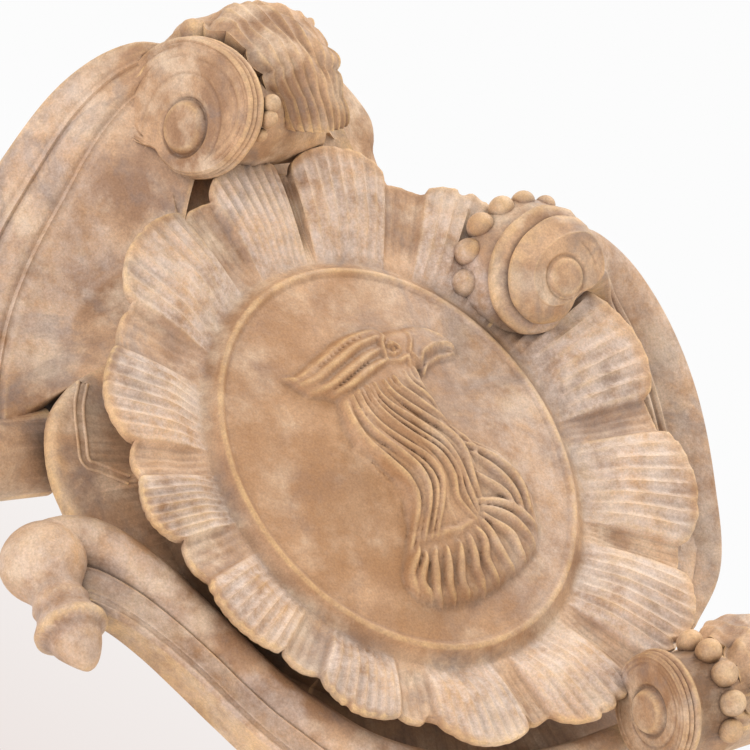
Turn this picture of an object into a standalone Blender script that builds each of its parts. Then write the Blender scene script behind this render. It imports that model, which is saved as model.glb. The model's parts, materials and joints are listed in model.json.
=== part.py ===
"""Rococo cartouche carved from one block of alabaster.

The front faces -Y and Z points up. The flat back lies in the plane Y = 0, and the origin
is on it, straight behind the middle of the oval boss. Points are written as (x, z, h) in
millimetres, where h is the height in front of the foot of the boss.
"""
import math

import bmesh
import bpy
import numpy as np

MM = 0.001

# Driving sizes, in millimetres
BACK_DEPTH = 92.0          # flat back to the foot of the boss
BACK_SPARE = 12.0          # stock behind the back plane, sawn off at the end
PANEL_SPARE = 8.0          # the same behind the wing and the shoulder
NECK_SPARE = 6.0           # the same behind the neck
SAW_REACH = 400.0
PLATE_FRONT = -40.0        # front of the back plate
BOSS_WIDTH = 195.0
BOSS_HEIGHT = 214.0
BOSS_RIDGE = 6.0           # rim of the boss above its foot
BOSS_DOME = 11.0           # middle of the boss above its rim
BOSS_BEVEL = 7.0           # width of the bevel outside the rim
BOSS_GROOVE = 1.6          # depth of the hollow line inside the rim
GROOVE_SHARE = 0.95        # share of the boss's radius where that line runs
RELIEF = 5.0               # height of the eagle on the boss
RELIEF_SLOPE = 14.0        # width over which the eagle's edge rounds down
LOCK_RELIEF = 3.0          # height of one lock of feathers
LOCK_WIDTH = 7.0           # half width of one lock
LOCK_TIP = 0.06            # share of a lock taken by its thin tip
RUFFLE_RISE = 9.0          # outer edge of the ruffle above its foot
RUFFLE_LIP = 7.0           # thickness of the ruffle at its edge
LOBE_LIFT = 4.5            # wide lobes stand this far proud
LOBE_DIP = 4.0             # narrow lobes lie this far back
LOBE_STEP = 12.0           # narrow lobes are this much shorter
LOBE_CHEEK = 2.0           # step between the edges of wide and narrow lobes
LIP_DROP = 1.5             # the ruffle turns down this far at its edge
RUFFLE_SHARES = (0.3, 0.7, 1.0)
FLUTE_DEPTH = 1.8
FLUTE_LEVEL = 0.6
CORE_RADIUS = 118.0        # solid core behind the ruffle
CORE_TOP = -26.0           # underside of the ruffle, where the core starts
CORE_SEAT = 12.0           # the core runs this far into the plate

# Resolution
BOSS_CELLS = 28
COLUMNS_PER_FLUTE = 2
WIDE_FLUTES = 6
NARROW_FLUTES = 2

# Wide lobes of the ruffle: first angle, last angle and radius of the crown
WIDE_LOBES = (
    (5, 28, 172), (38, 61, 172), (70, 91, 176), (94, 111, 173), (120, 143, 168),
    (154, 172, 161), (179, 192, 155), (201, 219, 151), (228, 245, 155), (254, 274, 160),
    (281, 302, 163), (309, 330, 170), (336, 358, 168),
)

# Outline of the eagle on the boss, (x, z)
EAGLE = (
    (-53, 46), (-33, 52), (-17, 62), (-3, 67), (9, 70), (22, 67), (37, 68), (50, 61),
    (58, 54), (63, 45), (63, 37), (56, 47), (48, 50), (36, 49), (29, 45), (24, 37),
    (22, 25), (25, 11), (35, -2), (50, -9), (62, -25), (62, -45), (55, -61), (45, -71),
    (30, -75), (16, -81), (9, -75), (0, -82), (-9, -84), (-13, -77), (-24, -83),
    (-33, -80), (-36, -71), (-23, -51), (-20, -35), (-22, -24), (-26, -8), (-33, 5),
    (-35, 17), (-32, 30), (-42, 36), (-49, 40),
)
NECK_LEFT = ((-30, 34), (-31, 17), (-29, 5), (-22, -8), (-17, -24), (-17, -40), (-24, -58), (-30, -76))
NECK_RIGHT = ((20, 36), (18, 25), (22, 10), (33, -5), (50, -14), (59, -28), (58, -46), (42, -66))
NECK_LOCKS = 4
CREST_LOCKS = (
    ((-51, 45), (-34, 48), (-17, 56), (-2, 63), (10, 66)),
    ((-48, 41), (-31, 42), (-13, 50), (5, 57)),
    ((-42, 38), (-28, 36), (-12, 42), (6, 46)),
)
BEAK = ((30, 56), (42, 60), (52, 57), (59, 50), (62, 41))

# Outline of the back plate from the left shoulder against the clock: x, z, and how far
# the block is cut in there at its flat back
PLATE = (
    (-140, 84, 6), (-158, 58, 22), (-164, 18, 32), (-142, -20, 36), (-144, -58, 54),
    (-118, -102, 56), (-80, -140, 54), (-20, -164, 48), (50, -168, 42), (104, -150, 32),
    (150, -112, 24), (184, -70, 18), (200, -40, 14), (204, 10, 12), (200, 60, 12),
    (176, 104, 10), (132, 142, 6), (84, 172, 0), (40, 196, 0), (-20, 200, 0), (-70, 182, 0),
    (-108, 146, 0), (-128, 112, 0),
)
PLATE_MIDDLE = (10.0, 10.0)
# Steps of the plate's edge: distance in from the outline and height over PLATE_FRONT
PLATE_STEPS = ((0, -6), (4, 0), (18, 0), (21, -3))

# Rails of the left wing and of the right shoulder, (x, z, h)
WING_OUTER = (
    (-46, 243, -2), (-62, 248, -9), (-80, 247, -28), (-99, 236, -45), (-123, 212, -62),
    (-152, 185, -70), (-176, 152, -76), (-192, 114, -77), (-198, 78, -72), (-194, 48, -64),
)
WING_INNER = (
    (-36, 200, 0), (-50, 192, -8), (-62, 178, -12), (-76, 158, -18), (-94, 136, -22),
    (-110, 116, -26), (-118, 102, -34), (-124, 94, -40), (-128, 88, -44), (-130, 82, -46),
)
SHOULDER_OUTER = (
    (44, 243, -4), (60, 250, -16), (78, 246, -30), (94, 234, -40), (100, 224, -44),
    (99, 214, -46), (94, 202, -46), (100, 180, -50), (124, 158, -54), (150, 132, -58),
)
SHOULDER_INNER = (
    (38, 205, -4), (46, 198, -12), (54, 193, -18), (62, 190, -22), (66, 184, -26),
    (68, 178, -30), (70, 170, -32), (74, 160, -34), (84, 148, -38), (100, 132, -42),
)
PANEL_HOLLOW = 5.0         # the panels are hollowed this deep
PANEL_BORDER = 0.64        # share of a panel's width where its raised border starts
BORDER_RISE = 1.5

# Sections of the neck under the crest roll: z, h, first x and last x
NECK = ((148, -26, -58, 66), (176, -22, -56, 62), (202, -17, -52, 56), (224, -12, -48, 50),
        (240, -8, -46, 44))
NECK_HOLLOW = 4.0

# Middle lines of the ribbons: x, z, h, width, thickness
RIGHT_ARM = (
    (136, 110, 6, 26, 36), (160, 106, 4, 32, 38), (184, 88, -4, 36, 42), (196, 60, -12, 38, 42),
    (200, 24, -20, 38, 42), (198, -16, -30, 36, 42), (190, -56, -40, 34, 42),
    (166, -84, -46, 30, 42),
)
LEFT_STRAP = (
    (-192, -25, -22, 40, 24), (-178, -28, -18, 44, 26), (-161, -38, -16, 40, 28),
    (-145, -57, -16, 35, 32), (-132, -77, -16, 34, 36), (-118, -97, -17, 34, 38),
    (-100, -120, -18, 36, 38), (-66, -150, -20, 40, 38), (-16, -168, -24, 40, 36),
    (40, -172, -24, 38, 36), (84, -166, -18, 34, 36),
)
# Mouldings across the ribbons: share of the half width, height
ARM_PROFILE = (
    (-1.0, -6.0), (-0.85, 0.0), (-0.6, 0.0), (-0.45, -4.0), (0.1, -5.0), (0.7, -1.0),
    (0.95, 1.0), (1.0, -6.0),
)
STRAP_PROFILE = (
    (-1.0, -3.0), (-0.88, 0.5), (-0.76, -1.0), (-0.3, -3.5), (-0.05, -3.0), (0.05, 0.5),
    (0.45, 3.0), (0.8, 1.5), (1.0, -4.0),
)
STRAP_LEAN = 0.15          # the strap's outer side leans back by this share
STRAP_SIDES = (0.55, 1.0)  # share of the thickness at its outer and inner sides
RIBBON_TAPER = 0.96        # undersides are this share as wide as the top

# Scroll ends: middle of the near face, axis towards that face, length, radii at both ends,
# share of the radius taken by the eye, how far the eye stands proud, and sides
LEFTWARDS = (-1.0, 0.0, 0.0)
CREST_ROLL = dict(centre=(-45, 204, 8), axis=LEFTWARDS, length=62.0, radius=38.0,
                  far_radius=24.0, eye=0.37, proud=10.0, sides=20)
RIGHT_VOLUTE = dict(centre=(125, 78, 24), axis=(0.15, -0.81, 0.57), length=42.0, radius=20.0,
                    far_radius=30.0, eye=0.42, proud=6.0, sides=18)
FOOT_ROLL = dict(centre=(70, -160, 22), axis=LEFTWARDS, length=78.0, radius=28.0,
                 far_radius=22.0, eye=0.4, proud=8.0, sides=16)
WING_CURL = dict(centre=(-204, 61, -72), axis=LEFTWARDS, length=64.0, radius=23.0,
                 far_radius=23.0, eye=0.4, proud=5.0, sides=14)

STRAP_CURL = dict(centre=(-195, -55, -32), axis=(-0.36, -0.85, 0.38), length=50.0, radius=16.0,
                  far_radius=26.0, eye=0.45, proud=2.0, sides=16)
EYE_CROWN = 0.8            # share of an eye's radius taken by its flat top
EYE_ROUND = 2.0            # an eye rounds down this far
EYE_FOOT = 1.02
COLLAR_IN = 0.62           # the collar round an eye, and the ring outside it, as shares
COLLAR_OUT = 0.66          # of the radius
FACE_EDGE = 0.9
FACE_DIP = 1.0
FACE_BEVEL = 3.0
FAR_BEVEL = 4.0            # the hidden end of a roll is bevelled by this
FAR_SHARE = 0.85

# Rows of beads round the scroll ends: distance from the near face, reach, angles, radius
CREST_BEADS = dict(offset=20.0, reach=39.0, angles=(-32, -50, -66), radius=6.5)
VOLUTE_BEADS = dict(offset=38.0, reach=33.0, angles=(190, 168, 146, 124, 100, 74, 46), radius=7.5)
FOOT_BEADS = dict(offset=28.0, reach=29.0, angles=(60, 30, 2, -24, -46), radius=6.5)

# Leaves draped over the rolls: first and last x at the back and at the tip, distance from
# the roll's axis at the back, on top and at the tip, angles of back and tip, stations, ribs
CREST_LEAF = dict(back=(-58, 19), tip=(-19, 21), reach=(50, 52, 43), angles=(128, -50),
                  stations=9, ribs=4)
FOOT_LEAF = dict(back=(112, 152), tip=(108, 150), reach=(38, 39, 33), angles=(120, -40),
                 stations=7, ribs=3)
LEAF_THICKNESS = 14.0
LEAF_RIB = 2.5             # ribs of the leaves stand this far proud
LEAF_ARCH = 9.0            # sides of a leaf lie this far below its middle
LEAF_CURL = 4.0            # the tip of a leaf turns out this far
LEAF_REACH_AT = (0.0, 0.35, 0.85, 1.0)
LEAF_TOOTH = 3.0           # depth of the teeth along a leaf's sides


def spot(x, z, h):
    """A point of the carving in metres, from millimetres."""
    return np.array([x * MM, -(BACK_DEPTH + h) * MM, z * MM])


def spots(x, z, h):
    """Many points at once, one row each."""
    x, z, h = np.broadcast_arrays(x, z, h)
    return np.stack([x * MM, -(BACK_DEPTH + h) * MM, z * MM], axis=-1)


def smoothstep(low, high, value):
    t = np.clip((value - low) / (high - low), 0.0, 1.0)
    return t * t * (3.0 - 2.0 * t)


def curve(points, count):
    """Points spread evenly along a smooth curve through the given ones."""
    points = np.asarray(points, float)
    padded = np.vstack([2 * points[0] - points[1], points, 2 * points[-1] - points[-2]])
    samples = []
    for i in range(len(points) - 1):
        p0, p1, p2, p3 = padded[i:i + 4]
        for t in np.linspace(0.0, 1.0, 12, endpoint=False):
            a = 2 * p1 + (p2 - p0) * t
            b = (2 * p0 - 5 * p1 + 4 * p2 - p3) * t * t
            c = (3 * p1 - p0 - 3 * p2 + p3) * t * t * t
            samples.append(0.5 * (a + b + c))
    samples.append(points[-1])
    samples = np.array(samples)
    steps = np.linalg.norm(np.diff(samples, axis=0), axis=1)
    along = np.concatenate([[0.0], np.cumsum(steps)])
    wanted = np.linspace(0.0, along[-1], count)
    return np.stack([np.interp(wanted, along, samples[:, k]) for k in range(points.shape[1])], axis=1)


class Shell:
    """Collects the points and faces of one closed skin."""

    def __init__(self):
        self.points = []
        self.faces = []

    def ring(self, points):
        start = len(self.points)
        self.points.extend(tuple(p) for p in points)
        return list(range(start, start + len(points)))

    def band(self, first, second):
        count = len(first)
        for i in range(count):
            j = (i + 1) % count
            self.faces.append((first[i], first[j], second[j], second[i]))

    def fan(self, ring, pole):
        centre = self.ring([pole])[0]
        count = len(ring)
        for i in range(count):
            self.faces.append((ring[i], ring[(i + 1) % count], centre))

    def zip(self, first, first_angles, second, second_angles):
        """Triangles between two rings that have different numbers of points."""
        a = list(first_angles) + [first_angles[0] + math.tau]
        b = list(second_angles) + [second_angles[0] + math.tau]
        i = 0
        j = 0
        while i < len(first) or j < len(second):
            p = first[i % len(first)]
            q = second[j % len(second)]
            if j == len(second) or (i < len(first) and a[i + 1] <= b[j + 1]):
                self.faces.append((p, first[(i + 1) % len(first)], q))
                i += 1
            else:
                self.faces.append((p, second[(j + 1) % len(second)], q))
                j += 1

    def build(self, name):
        mesh = bpy.data.meshes.new(name)
        mesh.from_pydata(self.points, [], self.faces)
        skin = bmesh.new()
        skin.from_mesh(mesh)
        bmesh.ops.recalc_face_normals(skin, faces=skin.faces)
        bmesh.ops.triangulate(skin, faces=skin.faces)
        skin.to_mesh(mesh)
        skin.free()
        return bpy.data.objects.new(name, mesh)


def stack(name, rings, start_pole=None, end_pole=None):
    """One closed skin from rings of equal length, closed by poles or flat caps."""
    shell = Shell()
    indices = [shell.ring(r) for r in rings]
    for first, second in zip(indices, indices[1:]):
        shell.band(first, second)
    for ring, pole in ((indices[0], start_pole), (indices[-1], end_pole)):
        if pole is None:
            pole = np.mean([shell.points[k] for k in ring], axis=0)
        shell.fan(ring, pole)
    return shell.build(name)


def segment_distance(x, z, path):
    """Distance from points to a path, with the share of its length reached there."""
    best = np.full(np.shape(x), 1e9)
    share = np.zeros(np.shape(x))
    lengths = [math.dist(a, b) for a, b in zip(path, path[1:])]
    total = sum(lengths)
    run = 0.0
    for (ax, az), (bx, bz), length in zip(path, path[1:], lengths):
        t = np.clip(((x - ax) * (bx - ax) + (z - az) * (bz - az)) / length ** 2, 0.0, 1.0)
        d = np.hypot(x - ax - t * (bx - ax), z - az - t * (bz - az))
        closer = d < best
        best = np.where(closer, d, best)
        share = np.where(closer, (run + t * length) / total, share)
        run += length
    return best, share


def inside(x, z, outline):
    """True where a point lies inside a closed outline."""
    result = np.zeros(np.shape(x), bool)
    for (ax, az), (bx, bz) in zip(outline, outline[1:] + outline[:1]):
        if az == bz:
            continue
        crosses = (az > z) != (bz > z)
        result ^= crosses & (x < (bx - ax) * (z - az) / (bz - az) + ax)
    return result


def ridge(x, z, path, width, height):
    """A rounded ridge along a path, thinner towards both ends."""
    d, share = segment_distance(x, z, path)
    along = LOCK_TIP + (1.0 - 2.0 * LOCK_TIP) * share
    taper = np.sqrt(np.clip(np.sin(math.pi * along), 0.0, 1.0))
    return height * taper * np.sqrt(np.clip(1.0 - (d / (width * taper)) ** 2, 0.0, 1.0))


def eagle_height(x, z):
    """Relief of the eagle's head and feathered neck above the boss."""
    outline = list(EAGLE)
    d, _ = segment_distance(x, z, outline + outline[:1])
    within = inside(x, z, outline)
    height = np.where(within, RELIEF * np.sqrt(smoothstep(0.0, RELIEF_SLOPE, d)), 0.0)
    locks = np.zeros(np.shape(x))
    left = np.array(NECK_LEFT, float)
    right = np.array(NECK_RIGHT, float)
    for k in range(NECK_LOCKS + 1):
        path = [tuple(p) for p in curve(left + (right - left) * k / NECK_LOCKS, 14)]
        locks = np.maximum(locks, ridge(x, z, path, LOCK_WIDTH, LOCK_RELIEF))
    for path in CREST_LOCKS:
        locks = np.maximum(locks, ridge(x, z, list(path), LOCK_WIDTH, LOCK_RELIEF))
    locks = np.maximum(locks, ridge(x, z, list(BEAK), LOCK_WIDTH, LOCK_RELIEF))
    return height + np.where(within, locks, 0.0)


def boss_grid():
    """Square grid laid over the unit disc: its points and its edge, from angle zero on."""
    side = np.linspace(-1.0, 1.0, BOSS_CELLS + 1)
    u, v = np.meshgrid(side, side, indexing="ij")
    return u * np.sqrt(1.0 - 0.5 * v * v), v * np.sqrt(1.0 - 0.5 * u * u)


def grid_edge():
    """Index pairs round the edge of the boss grid, against the clock from angle zero."""
    n = BOSS_CELLS
    half = n // 2
    edge = [(n, j) for j in range(half, n)]
    edge += [(i, n) for i in range(n, 0, -1)]
    edge += [(0, j) for j in range(n, 0, -1)]
    edge += [(i, 0) for i in range(0, n)]
    edge += [(n, j) for j in range(0, half)]
    return edge


def boss_height(x, z):
    """Height of the oval boss over its foot, with the relief on it."""
    share = np.hypot(2 * x / BOSS_WIDTH, 2 * z / BOSS_HEIGHT)
    dome = BOSS_DOME * (1.0 - smoothstep(0.0, GROOVE_SHARE, share) ** 0.8)
    rim = BOSS_GROOVE * smoothstep(GROOVE_SHARE, 1.0, share)
    return BOSS_RIDGE - BOSS_GROOVE + dome + rim + eagle_height(x, z)


def ruffle_columns():
    """Angle, crown radius, lift and flute phase of every column round the ruffle."""
    columns = []
    count = len(WIDE_LOBES)
    for i, (first, last, radius) in enumerate(WIDE_LOBES):
        following, _, next_radius = WIDE_LOBES[(i + 1) % count]
        valley = 0.5 * (radius + next_radius) - LOBE_STEP
        before = 0.5 * (radius + WIDE_LOBES[i - 1][2]) - LOBE_STEP
        steps = WIDE_FLUTES * COLUMNS_PER_FLUTE
        for k in range(steps):
            c = k / steps
            side = before + (valley - before) * c + LOBE_CHEEK
            arch = math.sin(math.pi * c) ** 0.6
            columns.append((first + (last - first) * c, side + (radius - side) * arch,
                            LOBE_LIFT * math.sin(math.pi * c) ** 0.5, c * WIDE_FLUTES))
        gap_end = following if following > last else following + 360
        steps = NARROW_FLUTES * COLUMNS_PER_FLUTE
        for k in range(steps):
            c = k / steps
            columns.append((last + (gap_end - last) * c, valley + LOBE_CHEEK * math.sin(math.pi * c),
                            -LOBE_DIP * math.sin(math.pi * c) ** 0.5, c * NARROW_FLUTES))
    return np.array(columns)


def face_shell():
    """Oval boss, ruffled shell frame and the core behind them, as one skin."""
    shell = Shell()
    gx, gz = boss_grid()
    x = gx * BOSS_WIDTH / 2
    z = gz * BOSS_HEIGHT / 2
    grid = shell.ring(spots(x, z, boss_height(x, z)).reshape(-1, 3))
    n = BOSS_CELLS + 1
    for i in range(BOSS_CELLS):
        for j in range(BOSS_CELLS):
            a = i * n + j
            shell.faces.append((grid[a], grid[a + n], grid[a + n + 1], grid[a + 1]))
    edge = grid_edge()
    edge_ring = [grid[i * n + j] for i, j in edge]
    edge_angles = [math.atan2(gz[i, j], gx[i, j]) % math.tau for i, j in edge]

    columns = ruffle_columns()
    angles = np.radians(columns[:, 0])
    crown = columns[:, 1]
    lift = columns[:, 2]
    rib = np.abs(np.sin(math.pi * columns[:, 3])) ** 0.7
    foot_x = (BOSS_WIDTH / 2 + BOSS_BEVEL) * np.cos(angles)
    foot_z = (BOSS_HEIGHT / 2 + BOSS_BEVEL) * np.sin(angles)
    foot = np.hypot(foot_x, foot_z)
    directions = np.arctan2(foot_z, foot_x)

    def ring_at(radius, height):
        return shell.ring(spots(radius * np.cos(directions), radius * np.sin(directions), height))

    rings = [ring_at(foot, 0.0)]
    for share in RUFFLE_SHARES:
        radius = foot + (crown - foot) * share
        spread = smoothstep(0.0, 0.5, share)
        rise = RUFFLE_RISE * (1.0 - (1.0 - share) ** 1.8)
        rise -= LIP_DROP * smoothstep(0.9, 1.0, share)
        flutes = FLUTE_DEPTH * (rib - FLUTE_LEVEL) * smoothstep(0.0, RUFFLE_SHARES[0], share)
        rings.append(ring_at(radius, rise + spread * lift + flutes))
    lip = RUFFLE_RISE - LIP_DROP - RUFFLE_LIP + lift
    rings.append(ring_at(crown - 1.0, lip))
    start_angles = [a % math.tau for a in directions]
    shell.zip(edge_ring, edge_angles, rings[0], start_angles)
    for first, second in zip(rings, rings[1:]):
        shell.band(first, second)

    few = len(columns) // 4
    core_angles = [start_angles[0] + math.tau * k / few for k in range(few)]
    core = []
    for radius, height in ((CORE_RADIUS, CORE_TOP), (CORE_RADIUS, PLATE_FRONT - CORE_SEAT)):
        core.append(shell.ring([spot(radius * math.cos(a), radius * math.sin(a), height)
                                for a in core_angles]))
    shell.zip(rings[-1], start_angles, core[0], core_angles)
    shell.band(core[0], core[1])
    shell.fan(core[1], spot(0, 0, PLATE_FRONT - CORE_SEAT))
    return shell.build("face")


def plate_shell():
    """Back plate with a stepped edge, cut in behind towards its flat back."""
    outline = np.array(PLATE, float)[:, :2]
    cut_in = np.array(PLATE, float)[:, 2:]
    centre = np.array(PLATE_MIDDLE)

    def inset(distance):
        away = outline - centre
        reach = np.linalg.norm(away, axis=1, keepdims=True)
        return centre + away * (1.0 - distance / reach)

    back = inset(cut_in)
    rings = [spots(back[:, 0], back[:, 1], -BACK_DEPTH - BACK_SPARE),
             spots(back[:, 0], back[:, 1], -BACK_DEPTH)]
    for distance, height in PLATE_STEPS:
        points = inset(distance)
        rings.append(spots(points[:, 0], points[:, 1], PLATE_FRONT + height))
    return stack("plate", rings)


def panel_shell(name, outer, inner, stations, steps):
    """A hollowed panel between two rails, with a raised border along its outer rail."""
    outer = curve(outer, stations)
    inner = curve(inner, stations)
    rings = []
    for a, b in zip(inner, outer):
        ring = []
        for k in range(steps + 1):
            t = k / steps
            x, z, h = a + (b - a) * t
            sag = PANEL_HOLLOW * math.sin(math.pi * min(t / PANEL_BORDER, 1.0))
            ring.append(spot(x, z, h - sag + (0.0 if t < PANEL_BORDER else BORDER_RISE)))
        ring.append(spot(b[0], b[1], -BACK_DEPTH - PANEL_SPARE))
        ring.append(spot(a[0], a[1], -BACK_DEPTH - PANEL_SPARE))
        rings.append(ring)
    return stack(name, rings)


def axis_frame(axis):
    """Unit axis (x, z, h) and two directions square to it, in part coordinates."""
    near = np.array([axis[0], -axis[2], axis[1]], float)
    near /= np.linalg.norm(near)
    guide = np.array([0.0, -1.0, 0.0] if abs(near[0]) > 0.9 else [1.0, 0.0, 0.0])
    first = guide - near.dot(guide) * near
    first /= np.linalg.norm(first)
    return near, first, np.cross(near, first)


def scroll_shell(name, centre, axis, length, radius, far_radius, eye, proud, sides):
    """A rolled scroll end: rings carved in its near face round an eye that stands proud."""
    near, first, second = axis_frame(axis)
    middle = spot(*centre)
    angles = np.linspace(0.0, math.tau, sides, endpoint=False)

    def ring(share, offset):
        reach = radius * share * MM
        return [middle + near * offset * MM + reach * (math.cos(a) * first + math.sin(a) * second)
                for a in angles]

    steps = [(eye * EYE_CROWN, proud), (eye, proud - EYE_ROUND), (eye * EYE_FOOT, proud * 0.3),
             (COLLAR_IN, proud * 0.7), (COLLAR_OUT, -FACE_DIP), (FACE_EDGE, -FACE_DIP),
             (1.0, -FACE_BEVEL)]
    rings = [ring(share, offset) for share, offset in steps]
    far = far_radius / radius
    rings.append(ring(0.5 + 0.5 * far, -length * 0.5))
    rings.append(ring(far, -length + FAR_BEVEL))
    rings.append(ring(far * FAR_SHARE, -length))
    return stack(name, rings, middle + near * proud * MM, middle - near * length * MM)


def ribbon_shell(name, path, profile, stations, lean=0.0, sides=(1.0, 1.0)):
    """A moulded strap swept along a path; the profile is (share of half width, height)."""
    line = curve(path, stations)
    fullest = line[:, 3].max()
    rings = []
    for i, (x, z, h, width, thickness) in enumerate(line):
        before = line[max(i - 1, 0)]
        after = line[min(i + 1, len(line) - 1)]
        along = np.array([after[0] - before[0], after[1] - before[1]])
        along /= np.linalg.norm(along)
        side = np.array([-along[1], along[0]])
        ring = []
        for share, height in profile:
            reach = share * width / 2
            ring.append(spot(x + side[0] * reach, z + side[1] * reach,
                             h + height * width / fullest + lean * reach))
        for sign, depth in ((1, sides[1]), (-1, sides[0])):
            reach = sign * RIBBON_TAPER * width / 2
            ring.append(spot(x + side[0] * reach, z + side[1] * reach,
                             h - thickness * depth + lean * reach))
        rings.append(ring)
    return stack(name, rings)


def leaf_shell(name, roll, back, tip, reach, angles, stations, ribs):
    """An acanthus leaf draped over a roll whose axis runs along X, from its back to its tip."""
    _, cz, ch = roll["centre"]
    rings = []
    for k in range(stations + 1):
        t = k / stations
        angle = math.radians(angles[0] + (angles[1] - angles[0]) * t)
        tooth = LEAF_TOOTH * (1 if k % 2 else -1)
        low = back[0] + (tip[0] - back[0]) * t - tooth
        high = back[1] + (tip[1] - back[1]) * t + tooth
        crown = np.interp(t, LEAF_REACH_AT, (*reach, reach[2] + LEAF_CURL))
        top = []
        under = []
        for j in range(2 * ribs + 1):
            c = j / (2 * ribs)
            x = low + (high - low) * c
            arch = LEAF_ARCH * (2 * c - 1) ** 2
            radius = crown - arch + (0.0 if j % 2 else LEAF_RIB)
            top.append(spot(x, cz + radius * math.sin(angle), ch + radius * math.cos(angle)))
            radius = crown - arch - LEAF_THICKNESS
            under.append(spot(x, cz + radius * math.sin(angle), ch + radius * math.cos(angle)))
        rings.append(top + under[::-1][::2])
    return stack(name, rings)


def bead(name, centre, radius):
    """One round bead."""
    rings = []
    middle = spot(*centre)
    for k in range(1, 4):
        polar = math.pi * k / 4
        ring = []
        for j in range(8):
            a = math.tau * j / 8
            ring.append(middle + radius * MM * np.array([math.sin(polar) * math.cos(a), -math.cos(polar),
                                                         math.sin(polar) * math.sin(a)]))
        rings.append(ring)
    return stack(name, rings, middle + [0, -radius * MM, 0], middle + [0, radius * MM, 0])


def bead_row(name, roll, offset, reach, angles, radius):
    """Beads round a roll, at given angles about its axis."""
    near, first, second = axis_frame(roll["axis"])
    middle = spot(*roll["centre"]) - near * offset * MM
    row = []
    for k, degrees in enumerate(angles):
        a = math.radians(degrees)
        p = middle + reach * MM * (math.cos(a) * first + math.sin(a) * second)
        row.append(bead(f"{name}_{k + 1}", (p[0] / MM, p[2] / MM, -p[1] / MM - BACK_DEPTH), radius))
    return row


def neck_shell():
    """The hollow neck that carries the crest roll above the ruffle."""
    rings = []
    for z, h, low, high in NECK:
        ring = []
        for k in range(7):
            t = k / 3.0 - 1.0
            x = 0.5 * (low + high) + 0.5 * (high - low) * t
            ring.append(spot(x, z, h + NECK_HOLLOW * t * t))
        ring.append(spot(high, z, -BACK_DEPTH - NECK_SPARE))
        ring.append(spot(low, z, -BACK_DEPTH - NECK_SPARE))
        rings.append(ring)
    return stack("neck", rings)


def stone_material():
    material = bpy.data.materials.new("alabaster")
    material.use_nodes = True
    shader = material.node_tree.nodes["Principled BSDF"]
    shader.inputs["Base Color"].default_value = (0.515, 0.328, 0.205, 1.0)
    shader.inputs["Roughness"].default_value = 0.55
    shader.inputs["Metallic"].default_value = 0.0
    return material


def saw_block():
    """Everything behind the flat back, to be sawn off."""
    half = SAW_REACH * MM
    corners = ((-half, -half), (half, -half), (half, half), (-half, half))
    return stack("saw", [[(x, y, z) for x, z in corners] for y in (0.0, 2 * BACK_SPARE * MM)])


def hide_cutter(obj):
    obj.hide_render = True
    obj.display_type = "WIRE"


def main():
    for obj in list(bpy.data.objects):
        bpy.data.objects.remove(obj, do_unlink=True)
    scene = bpy.context.scene.collection

    pieces = [
        plate_shell(),
        panel_shell("left_wing", WING_OUTER, WING_INNER, stations=12, steps=6),
        panel_shell("right_shoulder", SHOULDER_OUTER, SHOULDER_INNER, stations=10, steps=4),
        neck_shell(),
        ribbon_shell("right_arm", RIGHT_ARM, ARM_PROFILE, stations=12),
        ribbon_shell("left_strap", LEFT_STRAP, STRAP_PROFILE, stations=17, lean=STRAP_LEAN,
                     sides=STRAP_SIDES),
        scroll_shell("crest_roll", **CREST_ROLL),
        scroll_shell("right_volute", **RIGHT_VOLUTE),
        scroll_shell("foot_roll", **FOOT_ROLL),
        scroll_shell("wing_curl", **WING_CURL),
        scroll_shell("strap_curl", **STRAP_CURL),
        leaf_shell("crest_leaf", CREST_ROLL, **CREST_LEAF),
        leaf_shell("foot_leaf", FOOT_ROLL, **FOOT_LEAF),
    ]
    pieces += bead_row("crest_bead", CREST_ROLL, **CREST_BEADS)
    pieces += bead_row("volute_bead", RIGHT_VOLUTE, **VOLUTE_BEADS)
    pieces += bead_row("foot_bead", FOOT_ROLL, **FOOT_BEADS)
    joined = bpy.data.collections.new("carving")
    scene.children.link(joined)
    for piece in pieces:
        joined.objects.link(piece)
        hide_cutter(piece)
    block = saw_block()
    scene.objects.link(block)
    hide_cutter(block)

    cartouche = face_shell()
    cartouche.name = "cartouche"
    cartouche.data.materials.append(stone_material())
    scene.objects.link(cartouche)
    union = cartouche.modifiers.new("join_carving", "BOOLEAN")
    union.operation = "UNION"
    union.solver = "MANIFOLD"
    union.operand_type = "COLLECTION"
    union.collection = joined
    saw = cartouche.modifiers.new("saw_back_flat", "BOOLEAN")
    saw.operation = "DIFFERENCE"
    saw.solver = "MANIFOLD"
    saw.object = block
    cartouche.data.shade_smooth()
    cartouche.data.set_sharp_from_angle(angle=math.radians(40))


main()
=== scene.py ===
# %% [markdown]
# # A rococo cartouche carved in alabaster
#
# A cartouche is the ornamental tablet that a carver sets over a door, on an altar or on a
# piece of furniture. This one is a single block of alabaster: an oval boss with an eagle's
# head in low relief, a ruffled shell round it, and scrolls, beads and acanthus leaves that
# roll over its edges. Because it is one block, it ends up here as one mesh. The way there is
# the carver's own: each form is worked by itself, and then all of them are joined.
#
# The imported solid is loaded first. It gives the size and the place, and it stays fixed.

# %% Load the frame
import json
import math

import bmesh
import bpy
import numpy as np
from mathutils import Matrix, Vector

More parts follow.
